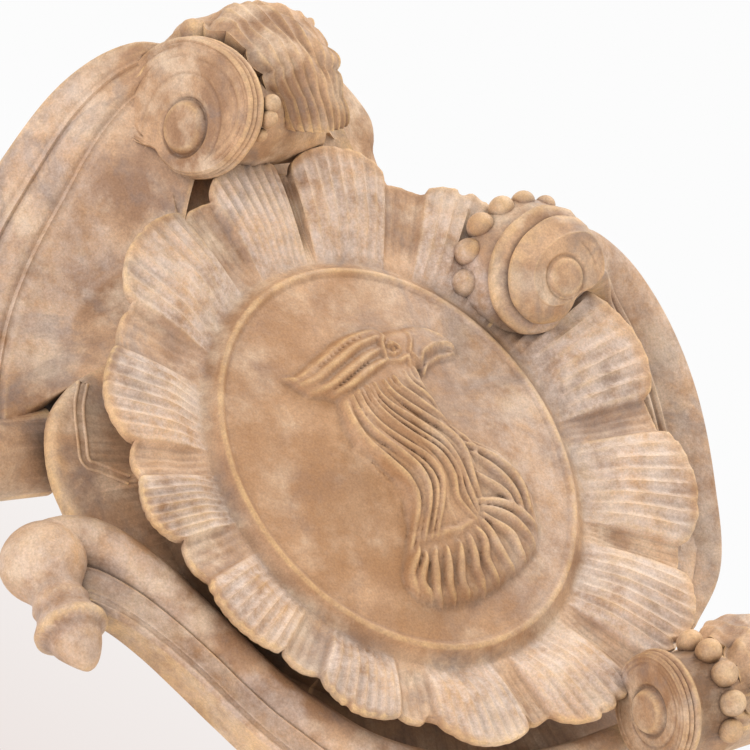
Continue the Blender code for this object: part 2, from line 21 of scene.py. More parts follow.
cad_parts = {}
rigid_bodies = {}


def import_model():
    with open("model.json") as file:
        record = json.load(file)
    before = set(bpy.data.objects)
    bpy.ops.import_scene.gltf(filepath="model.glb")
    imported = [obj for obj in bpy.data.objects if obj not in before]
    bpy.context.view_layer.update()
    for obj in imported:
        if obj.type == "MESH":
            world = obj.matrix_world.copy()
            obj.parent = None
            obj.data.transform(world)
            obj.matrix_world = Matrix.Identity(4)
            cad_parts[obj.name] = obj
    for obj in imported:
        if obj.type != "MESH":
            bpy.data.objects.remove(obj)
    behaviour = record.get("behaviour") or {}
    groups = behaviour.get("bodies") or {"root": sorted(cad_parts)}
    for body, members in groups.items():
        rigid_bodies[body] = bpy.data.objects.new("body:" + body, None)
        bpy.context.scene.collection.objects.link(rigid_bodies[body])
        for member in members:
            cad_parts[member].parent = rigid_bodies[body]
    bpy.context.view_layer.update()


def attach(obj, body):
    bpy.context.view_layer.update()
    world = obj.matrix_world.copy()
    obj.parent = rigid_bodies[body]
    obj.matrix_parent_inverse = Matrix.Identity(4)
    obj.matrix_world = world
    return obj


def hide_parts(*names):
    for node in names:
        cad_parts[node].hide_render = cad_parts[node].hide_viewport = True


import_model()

# %% [markdown]
# ## A drawing board in millimetres
#
# Carving is easier to think about face on. So every point is written as (x, z, h): across,
# up, and how far it stands in front of the foot of the boss, in millimetres. One function
# turns such points into metres with the front of the carving facing -Y.

# %% The drawing board
MM = 0.001
BACK_DEPTH = 92.0
BACK_SPARE = 12.0


def spots(x, z, h):
    """Points of the board in metres, one row each."""
    x, z, h = np.broadcast_arrays(x, z, h)
    return np.stack([x * MM, -(BACK_DEPTH + h) * MM, z * MM], axis=-1).astype(float)


def smoothstep(low, high, value):
    t = np.clip((value - low) / (high - low), 0.0, 1.0)
    return t * t * (3.0 - 2.0 * t)


def curve(points, count, closed=False):
    """Points spread evenly along a smooth curve through the given ones."""
    points = np.asarray(points, float)
    if closed:
        padded = np.vstack([points[-1], points, points[0], points[1]])
    else:
        padded = np.vstack([2 * points[0] - points[1], points, 2 * points[-1] - points[-2]])
    samples = []
    for i in range(len(padded) - 3):
        p0, p1, p2, p3 = padded[i:i + 4]
        for t in np.linspace(0.0, 1.0, 24, endpoint=False):
            a = 2 * p1 + (p2 - p0) * t
            b = (2 * p0 - 5 * p1 + 4 * p2 - p3) * t * t
            c = (3 * p1 - p0 - 3 * p2 + p3) * t * t * t
            samples.append(0.5 * (a + b + c))
    samples.append(points[0] if closed else points[-1])
    samples = np.array(samples)
    along = np.concatenate([[0.0], np.cumsum(np.linalg.norm(np.diff(samples, axis=0), axis=1))])
    wanted = np.linspace(0.0, along[-1], count, endpoint=not closed)
    return np.stack([np.interp(wanted, along, samples[:, k]) for k in range(points.shape[1])], axis=1)


print("the flat back lies", BACK_DEPTH, "mm behind the foot of the boss")

# %% [markdown]
# ## The camera, the floor and the light
#
# The photograph was taken from the lower left, with a long lens that hardly narrows with
# distance. The three directions below are where the picture's right, its top and the viewer
# are. They make the camera's rotation directly, so no angle has to be guessed.

# %% Camera
PICTURE_RIGHT = Vector((0.8274, -0.4479, -0.3390)).normalized()
TOWARDS_VIEWER = Vector((-0.5552, -0.7433, -0.3731)).normalized()
LOOKS_AT = Vector((0.0068, -0.0920, 0.0474))
CAMERA_DISTANCE = 1.8
CAMERA_LENS = 172.8

picture_right = (PICTURE_RIGHT - PICTURE_RIGHT.dot(TOWARDS_VIEWER) * TOWARDS_VIEWER).normalized()
picture_up = TOWARDS_VIEWER.cross(picture_right)
camera_data = bpy.data.cameras.new("camera")
camera_data.lens = CAMERA_LENS
camera_data.clip_end = 20.0
camera = bpy.data.objects.new("camera", camera_data)
turn = Matrix((picture_right, picture_up, TOWARDS_VIEWER)).transposed().to_4x4()
camera.matrix_world = Matrix.Translation(LOOKS_AT + CAMERA_DISTANCE * TOWARDS_VIEWER) @ turn
bpy.context.scene.collection.objects.link(camera)
bpy.context.scene.camera = camera
print("camera stands at", [round(v, 3) for v in camera.location])


# %% [markdown]
# Colours are written as they look on a screen, in hexadecimal, and one function turns them
# into the linear values that the renderer adds up. A second small function adds a node with
# its settings and its links, and every material below is built with it.

# %% Colour and node helpers
def screen_colour(code):
    """Linear red, green, blue and alpha from a hexadecimal screen colour."""
    parts = [int(code[i:i + 2], 16) / 255.0 for i in (1, 3, 5)]
    return tuple(c / 12.92 if c <= 0.04045 else ((c + 0.055) / 1.055) ** 2.4 for c in parts) + (1.0,)


def add_node(tree, kind, inputs=None, **settings):
    """A node of one kind; inputs are values or the sockets that feed them."""
    new = tree.nodes.new(kind)
    for name, value in settings.items():
        setattr(new, name, value)
    for key, value in (inputs or {}).items():
        if isinstance(value, bpy.types.NodeSocket):
            tree.links.new(value, new.inputs[key])
        else:
            new.inputs[key].default_value = value
    return new


# %% Floor, backdrop light and lamps
FLOOR_LEVEL = -0.72
FLOOR_REACH = 4.0
SHADE_SPAN = (0.01, 0.17)    # where the pale wall starts and stops darkening to the lower left, as a painted shadow
# Name, place, size in metres, power in watts and tint of each lamp
LAMPS = (
    ("key", (1.25, -0.85, 1.3), 0.8, 20.0, "#fff5ea"),
    ("fill", (-1.6, -0.9, 0.2), 1.5, 14.0, "#f6f4ff"),
    ("below", (-0.2, -1.3, -0.9), 1.2, 4.0, "#fff3e6"),
)
floor_mesh = bpy.data.meshes.new("floor")
SQUARE = ((-1, -1), (1, -1), (1, 1), (-1, 1))
floor_corners = [(x * FLOOR_REACH, y * FLOOR_REACH, FLOOR_LEVEL) for x, y in SQUARE]
floor_mesh.from_pydata(floor_corners, [], [(0, 1, 2, 3)])
floor = bpy.data.objects.new("floor", floor_mesh)
bpy.context.scene.collection.objects.link(floor)
# Matt paper gives no shine, only a soft pale ground
paper = bpy.data.materials.new("white_paper")
paper.use_nodes = True
paper.node_tree.nodes["Principled BSDF"].inputs["Base Color"].default_value = screen_colour("#ece9e6")
paper.node_tree.nodes["Principled BSDF"].inputs["Roughness"].default_value = 0.9
floor_mesh.materials.append(paper)

world = bpy.data.worlds.new("white_room")
world.use_nodes = True
sky = world.node_tree
looking = add_node(sky, "ShaderNodeTexCoord")
low_left = (-0.6 * picture_right - 0.8 * picture_up).normalized()
lean = add_node(sky, "ShaderNodeVectorMath", {0: looking.outputs["Generated"], 1: low_left},
                operation="DOT_PRODUCT")
shade = add_node(sky, "ShaderNodeMapRange", {0: lean.outputs["Value"], 1: SHADE_SPAN[0], 2: SHADE_SPAN[1],
                                             3: 0.0, 4: 1.0})
# The wall is painted darker towards the lower left, a soft painted shadow
wall_tone_with_painted_shadow = add_node(sky, "ShaderNodeMix", {0: shade.outputs[0], 6: screen_colour("#fcfcfc"),
                                             7: screen_colour("#ebe1dd")}, data_type="RGBA")
sky.links.new(wall_tone_with_painted_shadow.outputs[2], sky.nodes["Background"].inputs["Color"])
sky.nodes["Background"].inputs["Strength"].default_value = 1.0
bpy.context.scene.world = world
bpy.context.scene.view_settings.view_transform = "Standard"
for name, place, size, power, tint in LAMPS:
    lamp_data = bpy.data.lights.new(name, "AREA")
    lamp_data.size = size
    lamp_data.energy = power
    lamp_data.color = screen_colour(tint)[:3]
    lamp = bpy.data.objects.new(name, lamp_data)
    aim = (LOOKS_AT - Vector(place)).to_track_quat("-Z", "Y")
    lamp.matrix_world = Matrix.Translation(place) @ aim.to_matrix().to_4x4()
    bpy.context.scene.collection.objects.link(lamp)
print("lit by", len(LAMPS), "soft lamps and a white room")

# %% [markdown]
# ## Closed skins
#
# Joining only works on closed shapes, so each form is a closed skin. Most of them are a
# stack of rings: cross-sections with the same number of points, tied together by bands of
# faces, with a cap at each end. The class below collects points and faces and turns them
# into an object whose faces all point outwards.


# %% The skin builder
class Skin:
    def __init__(self):
        self.points = []
        self.faces = []
        self.count = 0

    def ring(self, points):
        points = np.asarray(points, float).reshape(-1, 3)
        self.points.append(points)
        self.count += len(points)
        return np.arange(self.count - len(points), self.count)

    def band(self, first, second):
        after = np.roll(first, -1)
        beyond = np.roll(second, -1)
        self.faces.extend(np.stack([first, after, beyond, second], axis=1).tolist())

    def fan(self, ring, pole):
        centre = self.ring([pole])[0]
        after = np.roll(ring, -1)
        self.faces.extend([(a, b, centre) for a, b in zip(ring.tolist(), after.tolist())])

    def zip(self, first, first_angles, second, second_angles):
        """Triangles between two rings that have different numbers of points."""
        a = list(first_angles) + [first_angles[0] + math.tau]
        b = list(second_angles) + [second_angles[0] + math.tau]
        i = 0
        j = 0
        while i < len(first) or j < len(second):
            p = first[i % len(first)]
            q = second[j % len(second)]
            if j == len(second) or (i < len(first) and a[i + 1] <= b[j + 1]):
                self.faces.append((p, first[(i + 1) % len(first)], q))
                i += 1
            else:
                self.faces.append((p, second[(j + 1) % len(second)], q))
                j += 1

    def build(self, name):
        mesh = bpy.data.meshes.new(name)
        mesh.from_pydata(np.vstack(self.points).tolist(), [], [[int(k) for k in f] for f in self.faces])
        skin = bmesh.new()
        skin.from_mesh(mesh)
        bmesh.ops.recalc_face_normals(skin, faces=skin.faces)
        bmesh.ops.triangulate(skin, faces=skin.faces)
        skin.to_mesh(mesh)
        skin.free()
        print(name, "has", len(mesh.polygons), "faces")
        return bpy.data.objects.new(name, mesh)


def stack(name, rings, start_pole=None, end_pole=None):
    """One closed skin from rings of equal length, closed by poles or flat caps."""
    skin = Skin()
    indices = [skin.ring(r) for r in rings]
    for first, second in zip(indices, indices[1:]):
        skin.band(first, second)
    for ring, points, pole in ((indices[0], rings[0], start_pole), (indices[-1], rings[-1], end_pole)):
        skin.fan(ring, np.mean(points, axis=0) if pole is None else pole)
    return skin.build(name)


def path_distance(x, z, path):
    """Distance from points to a path, with the share of its length reached there."""
    best = np.full(np.shape(x), 1e9)
    share = np.zeros(np.shape(x))
    lengths = [math.dist(a, b) for a, b in zip(path, path[1:])]
    run = 0.0
    for (ax, az), (bx, bz), length in zip(path, path[1:], lengths):
        t = np.clip(((x - ax) * (bx - ax) + (z - az) * (bz - az)) / length ** 2, 0.0, 1.0)
        d = np.hypot(x - ax - t * (bx - ax), z - az - t * (bz - az))
        share = np.where(d < best, (run + t * length) / sum(lengths), share)
        best = np.minimum(best, d)
        run += length
    return best, share


def inside(x, z, outline):
    """True where a point lies inside a closed outline."""
    result = np.zeros(np.shape(x), bool)
    for (ax, az), (bx, bz) in zip(outline, list(outline[1:]) + [outline[0]]):
        if az != bz:
            result ^= ((az > z) != (bz > z)) & (x < (bx - ax) * (z - az) / (bz - az) + ax)
    return result


def ridge(x, z, path, width, height, tip=0.06):
    """A rounded ridge along a path, thinner towards both ends."""
    d, share = path_distance(x, z, path)
    taper = np.sqrt(np.clip(np.sin(math.pi * (tip + (1.0 - 2.0 * tip) * share)), 0.02, 1.0))
    return height * taper * np.clip(1.0 - (d / (width * taper)) ** 2, 0.0, 1.0)


# %% [markdown]
# ## The eagle on the boss
#
# Low relief is a height map: over every spot of the oval there is one height. The eagle
# starts as its outline with a rounded edge. Feathers are laid on it as thin ridges: long
# ones that swing in an S from the head to the breast, hooked tufts that fan out below, and
# the crest behind the head. Each is a short path in millimetres, drawn smooth and tapered
# to both ends, the way a chisel enters and leaves the stone.

# %% Eagle relief
EAGLE = (
    (-51.7, 47.7), (-45.0, 46.1), (-33.5, 52.3), (-23.1, 58.0), (-14.5, 63.4), (-3.8, 67.4), (6.1, 69.6),
    (11.9, 69.0), (13.5, 66.4), (20.0, 68.3), (26.5, 68.2), (33.5, 69.1), (41.0, 68.0), (48.6, 64.0),
    (55.2, 57.5), (55.5, 52.4), (51.9, 49.7), (41.9, 48.1), (34.3, 45.9), (29.2, 38.8), (25.6, 37.7),
    (25.4, 42.2), (23.1, 34.9), (23.9, 27.4), (25.4, 18.6), (27.7, 8.5), (37.3, 0.0), (51.4, -7.2),
    (61.3, -18.2), (66.1, -31.5), (63.2, -48.3), (56.0, -62.0), (43.5, -70.5), (24.1, -78.9), (7.7, -83.9),
    (-7.8, -84.1), (-21.3, -80.0), (-27.0, -70.8), (-24.6, -58.9), (-16.1, -43.4), (-15.3, -29.2),
    (-17.8, -16.9), (-23.8, -6.6), (-30.2, 2.5), (-31.5, 14.8), (-29.5, 29.2), (-33.5, 32.0),
    (-42.5, 34.6), (-46.9, 39.5),
)
MOUTH = ((27.4, 44.5), (31.5, 50.4), (39.9, 54.1), (48.4, 54.1), (52.6, 51.4), (42.7, 50.1), (33.4, 46.9),
         (27.9, 40.7))
NECK_FEATHERS = (
    ((-30.2, 2.5), (-26.6, -13.5), (-25.7, -26.8), (-25.8, -35.1)),
    ((-27.6, 27.7), (-28.6, 15.7), (-26.1, 3.3), (-17.4, -9.7), (-10.2, -20.2), (-8.9, -32.4),
     (-19.6, -54.8)),
    ((-23.0, 29.7), (-23.6, 18.8), (-19.8, 6.2), (-10.6, -5.7), (-2.2, -16.3), (-0.9, -28.5),
     (-11.7, -51.1)),
    ((-18.3, 31.7), (-18.5, 21.9), (-14.2, 10.5), (-5.0, -1.5), (4.6, -12.2), (7.2, -24.6), (-3.4, -49.7)),
    ((-13.0, 33.6), (-12.9, 25.0), (-8.6, 14.8), (0.6, 2.8), (11.5, -8.2), (15.3, -20.7), (14.1, -32.7),
     (22.6, -43.4)),
    ((-6.6, 35.4), (-6.5, 28.0), (-2.0, 18.2), (7.5, 6.9), (18.5, -4.1), (23.5, -16.8), (24.5, -38.8)),
    ((-1.1, 36.1), (0.2, 29.8), (4.7, 22.0), (13.2, 11.2), (24.2, 0.2), (29.0, -10.1), (29.0, -34.5)),
    ((6.1, 37.9), (7.4, 31.6), (12.4, 24.9), (18.9, 15.5), (28.7, 4.6), (34.5, -3.4), (35.5, -13.3)),
    ((13.6, 40.4), (14.6, 33.3), (17.6, 28.0), (23.4, 20.0), (25.4, 12.4), (32.5, 4.2)),
    ((21.1, 42.6), (20.6, 35.2), (22.4, 30.0), (25.7, 22.3)),
)
BREAST_TUFTS = (
    ((29.0, 2.2), (40.1, -2.7), (50.7, -8.8), (58.5, -18.4), (62.0, -28.6)),
    ((32.0, -3.1), (42.6, -9.2), (52.2, -17.6), (57.4, -26.8), (58.9, -41.7)),
    ((33.8, -8.2), (42.1, -16.5), (48.6, -25.8), (52.6, -34.8), (53.3, -42.2)),
    ((32.5, -20.3), (40.0, -27.3), (45.0, -33.9), (47.5, -40.3)),
    ((26.5, -34.2), (36.5, -35.4), (45.5, -38.9), (53.6, -44.7), (59.9, -51.6)),
    ((27.5, -37.9), (36.5, -41.4), (45.0, -46.1), (51.3, -52.9), (54.5, -60.6)),
    ((27.3, -41.5), (34.0, -47.2), (39.0, -53.8), (42.2, -61.4), (46.0, -67.9)),
    ((24.6, -44.8), (29.0, -52.6), (31.0, -60.0), (32.5, -68.6), (35.9, -72.9)),
    ((20.6, -47.9), (22.1, -56.5), (21.1, -64.8), (21.4, -73.1), (24.9, -77.1)),
    ((13.7, -51.9), (14.7, -61.6), (12.6, -69.6), (12.8, -77.9), (15.3, -81.3)),
    ((7.4, -54.7), (4.2, -65.0), (2.8, -74.3), (5.6, -81.7)),
    ((0.3, -56.2), (-4.0, -66.3), (-5.4, -75.5), (-2.7, -82.5)),
    ((-6.3, -56.5), (-11.7, -66.4), (-13.1, -75.7), (-10.3, -82.4)),
    ((-12.8, -56.9), (-17.8, -65.7), (-19.8, -73.6), (-16.9, -80.6)),
    ((-17.2, -55.1), (-22.1, -62.7), (-24.9, -70.6), (-23.0, -76.9)),
)
CREST_FEATHERS = (
    ((-51.6, 46.7), (-44.3, 46.0), (-33.3, 51.6), (-23.5, 56.8), (-13.7, 62.1), (-1.8, 66.0), (10.0, 68.2)),
    ((-46.5, 40.6), (-37.6, 42.0), (-27.4, 47.4), (-17.6, 52.6), (-7.8, 57.9), (1.6, 60.8), (9.3, 62.5)),
    ((-41.5, 35.4), (-32.4, 36.7), (-23.0, 41.2), (-13.3, 46.4), (-4.0, 51.3), (3.8, 54.3), (9.0, 56.0)),
    ((-30.8, 32.5), (-23.5, 34.7), (-15.7, 38.3), (-7.6, 42.4), (0.3, 45.9), (6.3, 47.8)),
)
HEAD_LINES = (
    (((10.9, 68.6), (12.0, 63.5), (8.2, 58.8), (7.0, 52.7), (6.8, 47.7)), 2.0, 2.0),
    (((9.9, 56.7), (15.0, 58.2), (17.8, 55.4), (18.0, 53.4)), 1.4, 1.7),
    (((9.1, 53.3), (12.4, 51.2), (17.3, 53.0)), 1.3, 1.3),
    (((13.2, 54.7), (14.4, 54.4)), 2.0, 1.8),
    (((26.9, 67.2), (34.2, 67.5), (41.4, 65.9), (48.9, 61.4), (54.5, 55.8), (55.2, 53.0)), 2.2, 1.8),
    (((27.2, 46.5), (31.2, 52.2), (39.7, 56.0), (48.8, 56.3), (54.5, 53.5)), 1.7, 2.0),
    (((26.7, 39.1), (31.2, 44.6), (40.8, 48.7), (52.3, 50.7), (61.8, 47.8), (66.2, 40.5)), 1.5, 1.6),
    (((-12.9, -50.9), (-0.5, -48.9), (10.3, -47.9), (22.6, -43.4)), 2.4, 1.2),
    (((27.2, 66.7), (27.4, 59.6), (22.7, 52.0), (27.2, 46.5)), 1.6, 1.3),
    (((6.3, 46.5), (13.7, 46.8), (20.6, 49.7), (18.6, 42.4)), 1.8, 1.5),
)
RELIEF = 4.4
RELIEF_SLOPE = 6.0
# Feathers, half width and rise in millimetres, and whether finer strands lie between them
FEATHER_SETS = (
    (NECK_FEATHERS, 2.5, 2.9, True),
    (BREAST_TUFTS, 3.0, 3.6, False),
    (CREST_FEATHERS, 3.1, 2.7, False),
)
STRAND_SHARE = 0.75          # width of a strand between two feathers, as a share of theirs
STRAND_SWAY = 0.9            # how far a feather wanders to the side
GAPE_DEPTH = 1.3


def eagle_height(x, z):
    """Relief of the eagle's head and feathered neck above the boss."""
    outline = list(EAGLE)
    d, _ = path_distance(x, z, outline + outline[:1])
    within = inside(x, z, outline)
    height = np.where(within, RELIEF * np.sqrt(smoothstep(0.0, RELIEF_SLOPE, d)), 0.0)
    cubes = np.zeros(np.shape(x))
    hand = np.random.default_rng(11)
    along = np.linspace(0.0, 1.0, 22)
    for feathers, width, rise, fine in FEATHER_SETS:
        smooth = [curve(path, len(along)) for path in feathers]
        between = [0.5 * (a + b) for a, b in zip(smooth, smooth[1:])] if fine else []
        for k, path in enumerate(smooth + between):
            wave = STRAND_SWAY * np.sin(math.tau * (along * hand.uniform(0.8, 1.6) + hand.uniform()))
            path = path + np.stack([wave, 0.4 * wave], axis=1)
            strand = k >= len(smooth)
            tall = rise * hand.uniform(0.3, 0.75) if strand else rise * hand.uniform(0.75, 1.1)
            cubes += ridge(x, z, path.tolist(), width * (STRAND_SHARE if strand else 1.0), tall) ** 3
    for path, width, rise in HEAD_LINES:
        cubes += ridge(x, z, list(path), width, rise) ** 3
    lines = np.cbrt(cubes)
    near = smoothstep(3.0, 0.0, np.where(within, 0.0, d))
    gape = list(MOUTH)
    depth, _ = path_distance(x, z, gape + gape[:1])
    hollow = np.where(inside(x, z, gape), GAPE_DEPTH * smoothstep(0.0, 1.8, depth), 0.0)
    return height + lines * near - hollow


print("the relief has", sum(len(group[0]) for group in FEATHER_SETS), "feathers")

# %% [markdown]
# ## The ruffled shell
#
# Round the boss runs a scalloped frame like the lip of a shell. Broad lobes stand forward
# and are scooped into hollow flutes with crisp ridges between them. Narrow lobes lie back
# between the broad ones. The whole frame follows one rule: for each angle there is a length
# and a lift, so the list below only says where each broad lobe starts, where it stops and
# how far it reaches. A carver's hand is never quite even, so each flute gets its own depth.

# %% Ruffle rule
WIDE_LOBES = (
    (5, 28, 172), (38, 61, 172), (70, 91, 176), (94, 111, 173), (120, 143, 168),
    (154, 172, 161), (179, 192, 155), (201, 219, 151), (228, 245, 155), (254, 274, 160),
    (281, 302, 163), (309, 330, 170), (336, 358, 168),
)
BOSS_WIDTH = 195.0
BOSS_HEIGHT = 214.0
BOSS_RIDGE = 6.0
BOSS_GROOVE = 1.6
GROOVE_SHARE = 0.955
BOSS_DOME = 11.0
BOSS_BEVEL = 7.0
RUFFLE_RISE = 9.0
RUFFLE_LIP = 7.0
LOBE_LIFT = 4.5
LOBE_DIP = 4.0
LOBE_STEP = 12.0
LOBE_CHEEK = 2.0
FLUTE_DEPTH = 1.7
WIDE_FLUTES = 8
NARROW_FLUTES = 4
COLUMNS_PER_FLUTE = 5
CHIP_DEPTH = 1.8
CORE_RADIUS = 118.0
CORE_TOP = -26.0
PLATE_FRONT = -40.0
CORE_SEAT = 12.0
dice = np.random.default_rng(7)


def ruffle_columns():
    """Angle, reach, lift, flute phase, flute strength and paleness of every column."""
    columns = []
    count = len(WIDE_LOBES)
    for i, (first, last, radius) in enumerate(WIDE_LOBES):
        following, _, next_radius = WIDE_LOBES[(i + 1) % count]
        valley = 0.5 * (radius + next_radius) - LOBE_STEP
        before = 0.5 * (radius + WIDE_LOBES[i - 1][2]) - LOBE_STEP
        depths = dice.uniform(0.75, 1.25, WIDE_FLUTES + 1)
        steps = WIDE_FLUTES * COLUMNS_PER_FLUTE
        for k in range(steps):
            c = k / steps
            side = before + (valley - before) * c + LOBE_CHEEK
            arch = math.sin(math.pi * c) ** 0.6
            columns.append((first + (last - first) * c, side + (radius - side) * arch,
                            LOBE_LIFT * math.sin(math.pi * c) ** 0.35, c * WIDE_FLUTES,
                            depths[int(c * WIDE_FLUTES)], 1.0))
        gap_end = following if following > last else following + 360
        steps = NARROW_FLUTES * (COLUMNS_PER_FLUTE - 1)
        for k in range(steps):
            c = k / steps
            columns.append((last + (gap_end - last) * c, valley + LOBE_CHEEK * math.sin(math.pi * c),
                            -LOBE_DIP * math.sin(math.pi * c) ** 0.35, c * NARROW_FLUTES, 0.55, 0.0))
    return np.array(columns)


columns = ruffle_columns()
angles = np.radians(columns[:, 0])
foot_x = (BOSS_WIDTH / 2 + BOSS_BEVEL) * np.cos(angles)
foot_z = (BOSS_HEIGHT / 2 + BOSS_BEVEL) * np.sin(angles)
foot = np.hypot(foot_x, foot_z)
directions = np.arctan2(foot_z, foot_x)
wear = np.convolve(dice.normal(0.0, 1.0, len(columns) + 6), (0.15, 0.3, 0.45, 0.5, 0.45, 0.3, 0.15), "valid")
chips = CHIP_DEPTH * (np.maximum(wear - 0.8, 0.0) + 0.12 * np.abs(wear))
crown = columns[:, 1] - chips
print(len(columns), "columns round the ruffle")

# %% [markdown]
# Boss, ruffle and the core behind them share one skin. The boss is a square grid bent into
# a disc, which has no pole in the middle to spoil the relief. Its rim and the foot of the
# ruffle have different numbers of points, so they are zipped together by angle.

# %% Boss and ruffle
BOSS_CELLS = 156
GRID_SHARE = 0.93
# Steps out and down, in millimetres, over the edge of the boss and over the lip of the ruffle
BOSS_EDGE = ((0.6, 0.9), (1.4, 2.4), (3.4, 4.2), (5.6, 5.5))
LIP_EDGE = ((0.7, 1.2), (0.6, 3.0), (-0.2, 5.2), (-2.0, RUFFLE_LIP), (-12.0, RUFFLE_LIP + 4.0))
RIM_SHARES = (0.942, 0.95, 0.957, 0.965, 0.975, 0.985, 1.0)
RUFFLE_SHARES = np.concatenate([np.linspace(0.03, 0.9, 11), (0.935, 0.955, 0.972, 0.986, 1.0)])


def boss_grid():
    """Square grid laid over the unit disc, finer towards the middle."""
    side = np.linspace(-1.0, 1.0, BOSS_CELLS + 1)
    side = side * (0.76 + 0.24 * side * side)
    u, v = np.meshgrid(side, side, indexing="ij")
    return u * np.sqrt(1.0 - 0.5 * v * v), v * np.sqrt(1.0 - 0.5 * u * u)


def grid_edge():
    """Index pairs round the edge of the boss grid, against the clock from angle zero."""
    n = BOSS_CELLS
    half = n // 2
    edge = [(n, j) for j in range(half, n)]
    edge += [(i, n) for i in range(n, 0, -1)]
    edge += [(0, j) for j in range(n, 0, -1)]
    edge += [(i, 0) for i in range(0, n)]
    edge += [(n, j) for j in range(0, half)]
    return np.array(edge)


def boss_height(x, z):
    """Height of the oval boss over its foot, with the relief on it."""
    share = np.hypot(2 * x / BOSS_WIDTH, 2 * z / BOSS_HEIGHT)
    dome = BOSS_DOME * (1.0 - smoothstep(0.0, GROOVE_SHARE, share) ** 0.8)
    rim = BOSS_GROOVE * smoothstep(GROOVE_SHARE, 0.985, share) - 0.5 * smoothstep(0.99, 1.0, share)
    return BOSS_RIDGE - BOSS_GROOVE + dome + rim + eagle_height(x, z)


def ruffle_height(share):
    """Height of the ruffle at one share of its reach, for all columns."""
    rise = RUFFLE_RISE * (1.0 - (1.0 - share) ** 1.8)
    spread = smoothstep(0.0, 0.4, share)
    hollow = np.abs(np.sin(math.pi * columns[:, 3])) ** 0.8
    scoop = FLUTE_DEPTH * columns[:, 4] * (0.45 + 0.75 * share)
    ends = smoothstep(0.0, 0.1, share) * (1.0 - 0.7 * smoothstep(0.82, 1.0, share))
    rim = 0.25 * smoothstep(0.94, 0.975, share) - 0.5 * chips * smoothstep(0.95, 1.0, share)
    return rise + spread * columns[:, 2] - scoop * hollow * ends + rim


def face_object():
    skin = Skin()
    gx, gz = boss_grid()
    x = gx * BOSS_WIDTH / 2 * GRID_SHARE
    z = gz * BOSS_HEIGHT / 2 * GRID_SHARE
    grid = skin.ring(spots(x, z, boss_height(x, z)))
    n = BOSS_CELLS + 1
    square = grid.reshape(n, n)
    skin.faces.extend(np.stack([square[:-1, :-1], square[1:, :-1], square[1:, 1:], square[:-1, 1:]],
                               axis=-1).reshape(-1, 4).tolist())
    edge = grid_edge()
    edge_angles = np.arctan2(gz[edge[:, 0], edge[:, 1]], gx[edge[:, 0], edge[:, 1]]) % math.tau
    edge_ring = square[edge[:, 0], edge[:, 1]]

    def ring_at(radius, height):
        return skin.ring(spots(radius * np.cos(directions), radius * np.sin(directions), height))

    rings = []
    for share in RIM_SHARES:
        x = BOSS_WIDTH / 2 * share * np.cos(angles)
        z = BOSS_HEIGHT / 2 * share * np.sin(angles)
        rings.append(skin.ring(spots(x, z, boss_height(x, z))))
    for out, down in BOSS_EDGE:
        x = (BOSS_WIDTH / 2 + out) * np.cos(angles)
        z = (BOSS_HEIGHT / 2 + out) * np.sin(angles)
        rings.append(skin.ring(spots(x, z, BOSS_RIDGE - down)))
    rings.append(ring_at(foot, 0.0))
    for share in RUFFLE_SHARES:
        rings.append(ring_at(foot + (crown - foot) * share, ruffle_height(share)))
    edge_height = ruffle_height(1.0)
    for out, down in LIP_EDGE:
        rings.append(ring_at(crown + out, edge_height - down))
    start_angles = directions % math.tau
    skin.zip(edge_ring, edge_angles, rings[0], angles % math.tau)
    for first, second in zip(rings, rings[1:]):
        skin.band(first, second)
    few = len(columns) // 6
    core_angles = start_angles[0] + math.tau * np.arange(few) / few
    core = [skin.ring(spots(CORE_RADIUS * np.cos(core_angles), CORE_RADIUS * np.sin(core_angles), h))
            for h in (CORE_TOP, PLATE_FRONT - CORE_SEAT)]
    skin.zip(rings[-1], start_angles, core[0], core_angles)
    skin.band(core[0], core[1])
    skin.fan(core[1], spots(0.0, 0.0, PLATE_FRONT - CORE_SEAT))
    return skin.build("face")


face = face_object()

# %% [markdown]
# ## The back plate
#
# Behind the ruffle lies a plate with a stepped edge. Seen from the lower left, nothing shows
# behind its rim, so the block is cut in towards the wall. That is also how a carver lightens
# a stone that will be fixed.

# %% Back plate
PLATE = (
    (-138, 80, 6), (-158, 58, 22), (-164, 18, 32), (-142, -20, 36), (-144, -58, 54),
    (-118, -102, 56), (-80, -140, 54), (-20, -164, 48), (50, -168, 42), (104, -150, 32),
    (150, -112, 24), (184, -70, 18), (200, -40, 14), (204, 10, 12), (200, 60, 12),
    (176, 104, 10), (132, 142, 6), (84, 172, 0), (40, 190, 0), (-20, 186, 0), (-54, 150, 0),
    (-84, 112, 0), (-112, 92, 0),
)
PLATE_MIDDLE = (10.0, 10.0)
PLATE_STEPS = ((0, -6), (1.0, -2.4), (2.5, -0.6), (5, 0), (9, 0), (12, 0))
LINE_CORNERS = (
    (-131.4, 79.5), (-138.2, 66.6), (-142.9, 48.6), (-144.9, 36.6), (-137.7, 31.9), (-125.3, 24.4),
)
LINE_WIDTH = 7
LINE_THICKNESS = 5
PLATE_LINE = [(x, z, PLATE_FRONT, LINE_WIDTH, LINE_THICKNESS) for x, z in LINE_CORNERS]
LINE_PROFILE = (
    (-1.0, -1.0), (-0.8, 0.8), (-0.5, 0.8), (-0.25, -0.6), (0.25, -0.6), (0.5, 0.8), (0.8, 0.8), (1.0, -1.0),
)


def plate_object():
    outline = curve(PLATE, 170, closed=True)
    away = outline[:, :2] - PLATE_MIDDLE
    reach = np.linalg.norm(away, axis=1)

    def ring(distance, height):
        points = PLATE_MIDDLE + away * (1.0 - distance / reach)[:, None]
        return spots(points[:, 0], points[:, 1], height)

    rings = [ring(outline[:, 2], -BACK_DEPTH - BACK_SPARE), ring(outline[:, 2], -BACK_DEPTH)]
    for distance, height in PLATE_STEPS:
        rings.append(ring(np.full(len(outline), float(distance)), PLATE_FRONT + height))
    return stack("plate", rings)


plate = plate_object()

